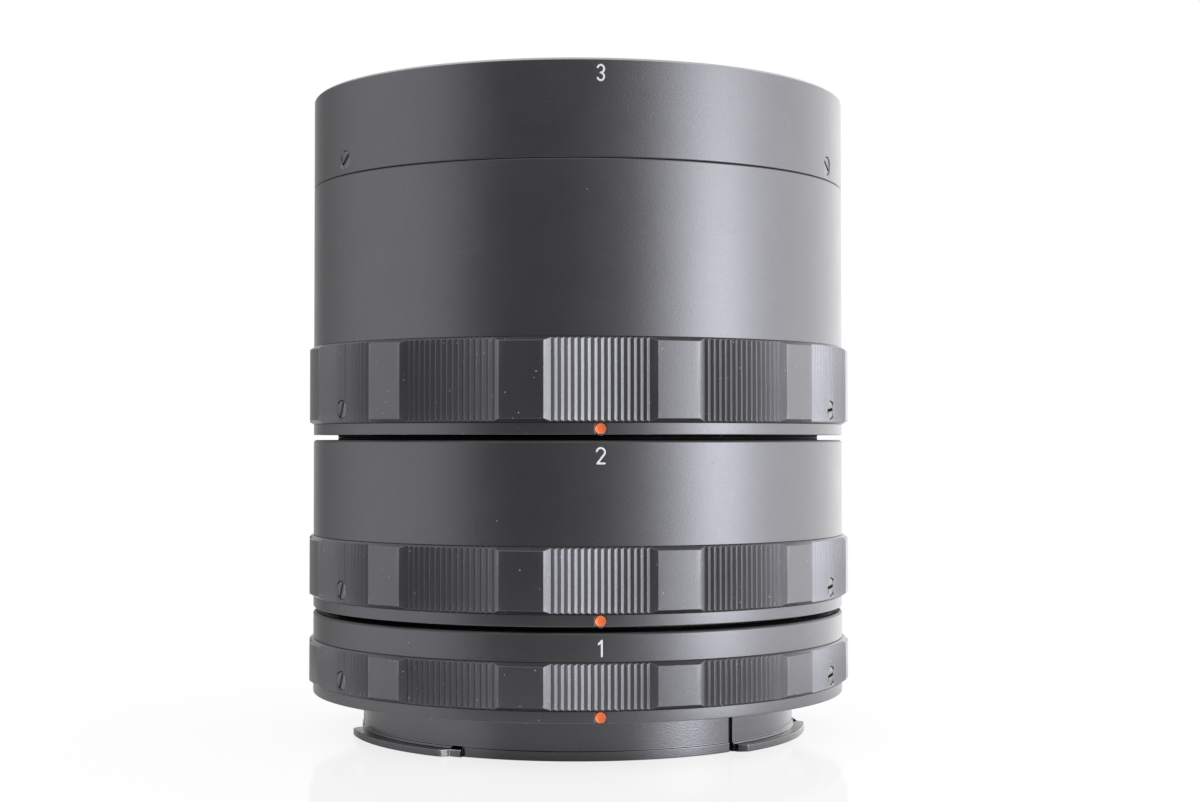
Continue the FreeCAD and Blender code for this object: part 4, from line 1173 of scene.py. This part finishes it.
def make_light(studio):
    """A studio: a large soft light on the right, white behind and dark in front of the object.

    It is light by direction, which is the same wherever the camera stands.
    """
    world = Finish("studio", "worlds", "Generated")
    bpy.context.scene.world = world.owner
    split = world.node("SeparateXYZ", {"Vector": world.place}).socket.node
    across, deep, up = (Sock(world.tree, output) for output in split.outputs)
    bearing = across.maths("ARCTAN2", across, deep * -1.0) / (2 * math.pi) + 0.5
    stops = [(0.5 + degrees / 360.0, dimmed(shade)) for degrees, shade in ROUND_LIGHT]
    band = world.node("ValToRGB", {"Fac": bearing}, "Color", stops)
    sideways = (bearing - 0.5 - LAMP_BEARING / 360.0) * (360.0 / LAMP_WIDTH)
    upwards = (up - math.sin(math.radians(LAMP_RISE))) / math.sin(math.radians(LAMP_HEIGHT))
    reach = up.maths("SQRT", sideways * sideways + upwards * upwards)
    light = world.mixed(1.0 - world.between(reach, 0.2, 1.0), band, dimmed(LAMP_LIGHT))
    light = world.mixed(world.between(up, 0.3, 0.75), light, dimmed(TOP_LIGHT))
    light = world.mixed(world.between(up * -1.0, 0.12, 0.5), light, dimmed(LOW_LIGHT))
    seen, shiny = world.rays()
    behind = world.between(deep, 0.88, 0.98)
    colour = world.mixed(seen.most(shiny * behind), light, dimmed((1.0, 1.0, 1.0)))
    strength = LIGHT_TOP * studio.key / KEY_LIGHT
    level = seen * (LIGHT_TOP - strength) + strength
    surface = world.node("Background", {"Color": colour, "Strength": level})
    world.node("OutputWorld", {"Surface": surface})


def make_camera(studio):
    """The camera at its bearing and height, looking past the axis."""
    camera = bpy.data.objects.new("camera", bpy.data.cameras.new("camera"))
    camera.data.lens = studio.lens
    camera.data.sensor_width = SENSOR
    camera.data.clip_start = 0.01
    side, back = math.sin(studio.bearing), math.cos(studio.bearing)
    camera.location = (side * studio.distance, -back * studio.distance, studio.height)
    camera.rotation_euler = (math.pi / 2 + studio.pitch, 0.0, studio.bearing - studio.yaw)
    bpy.context.scene.collection.objects.link(camera)
    bpy.context.scene.camera = camera


class TUBES_OT_stage(bpy.types.Operator):
    """Pale floor, soft studio light and camera"""

    bl_idname = "tubes.stage"
    bl_label = "Stage"

    def execute(self, context):
        studio = context.scene.tube_studio
        make_floor()
        make_light(studio)
        make_camera(studio)
        context.scene.view_settings.view_transform = "Standard"
        return {"FINISHED"}


class TUBES_PT_panel(bpy.types.Panel):
    """Sizes, finishes, pieces and studio of the tube set"""

    bl_idname = "TUBES_PT_panel"
    bl_label = "Extension tubes"
    bl_space_type = "VIEW_3D"
    bl_region_type = "UI"
    bl_category = "Tubes"

    def draw(self, context):
        for group, kind in GROUPS.items():
            box = self.layout.box()
            for name in kind.__annotations__:
                box.prop(getattr(context.scene, group), name)
        for operator in OPERATORS:
            self.layout.operator(operator.bl_idname)


GROUPS = {"tube_sizes": TubeSizes, "tube_finish": TubeFinish, "tube_studio": StudioSettings}
OPERATORS = (
    TUBES_OT_stage,
    TUBES_OT_barrels,
    TUBES_OT_collar,
    TUBES_OT_grips,
    TUBES_OT_rear_mounts,
    TUBES_OT_front_mounts,
    TUBES_OT_baffles,
    TUBES_OT_screws,
    TUBES_OT_marks,
    TUBES_OT_buttons,
    TUBES_OT_inner_parts,
)


def register():
    for kind in (*GROUPS.values(), *OPERATORS, TUBES_PT_panel):
        bpy.utils.register_class(kind)
    for name, group in GROUPS.items():
        setattr(bpy.types.Scene, name, PointerProperty(type=group))


def unregister():
    for name in GROUPS:
        delattr(bpy.types.Scene, name)
    for kind in reversed((*GROUPS.values(), *OPERATORS, TUBES_PT_panel)):
        bpy.utils.unregister_class(kind)


def main():
    register()
    for operator in OPERATORS:
        getattr(bpy.ops.tubes, operator.bl_idname.split(".")[1])()
    bpy.context.view_layer.update()


if __name__ == "__main__":
    main()
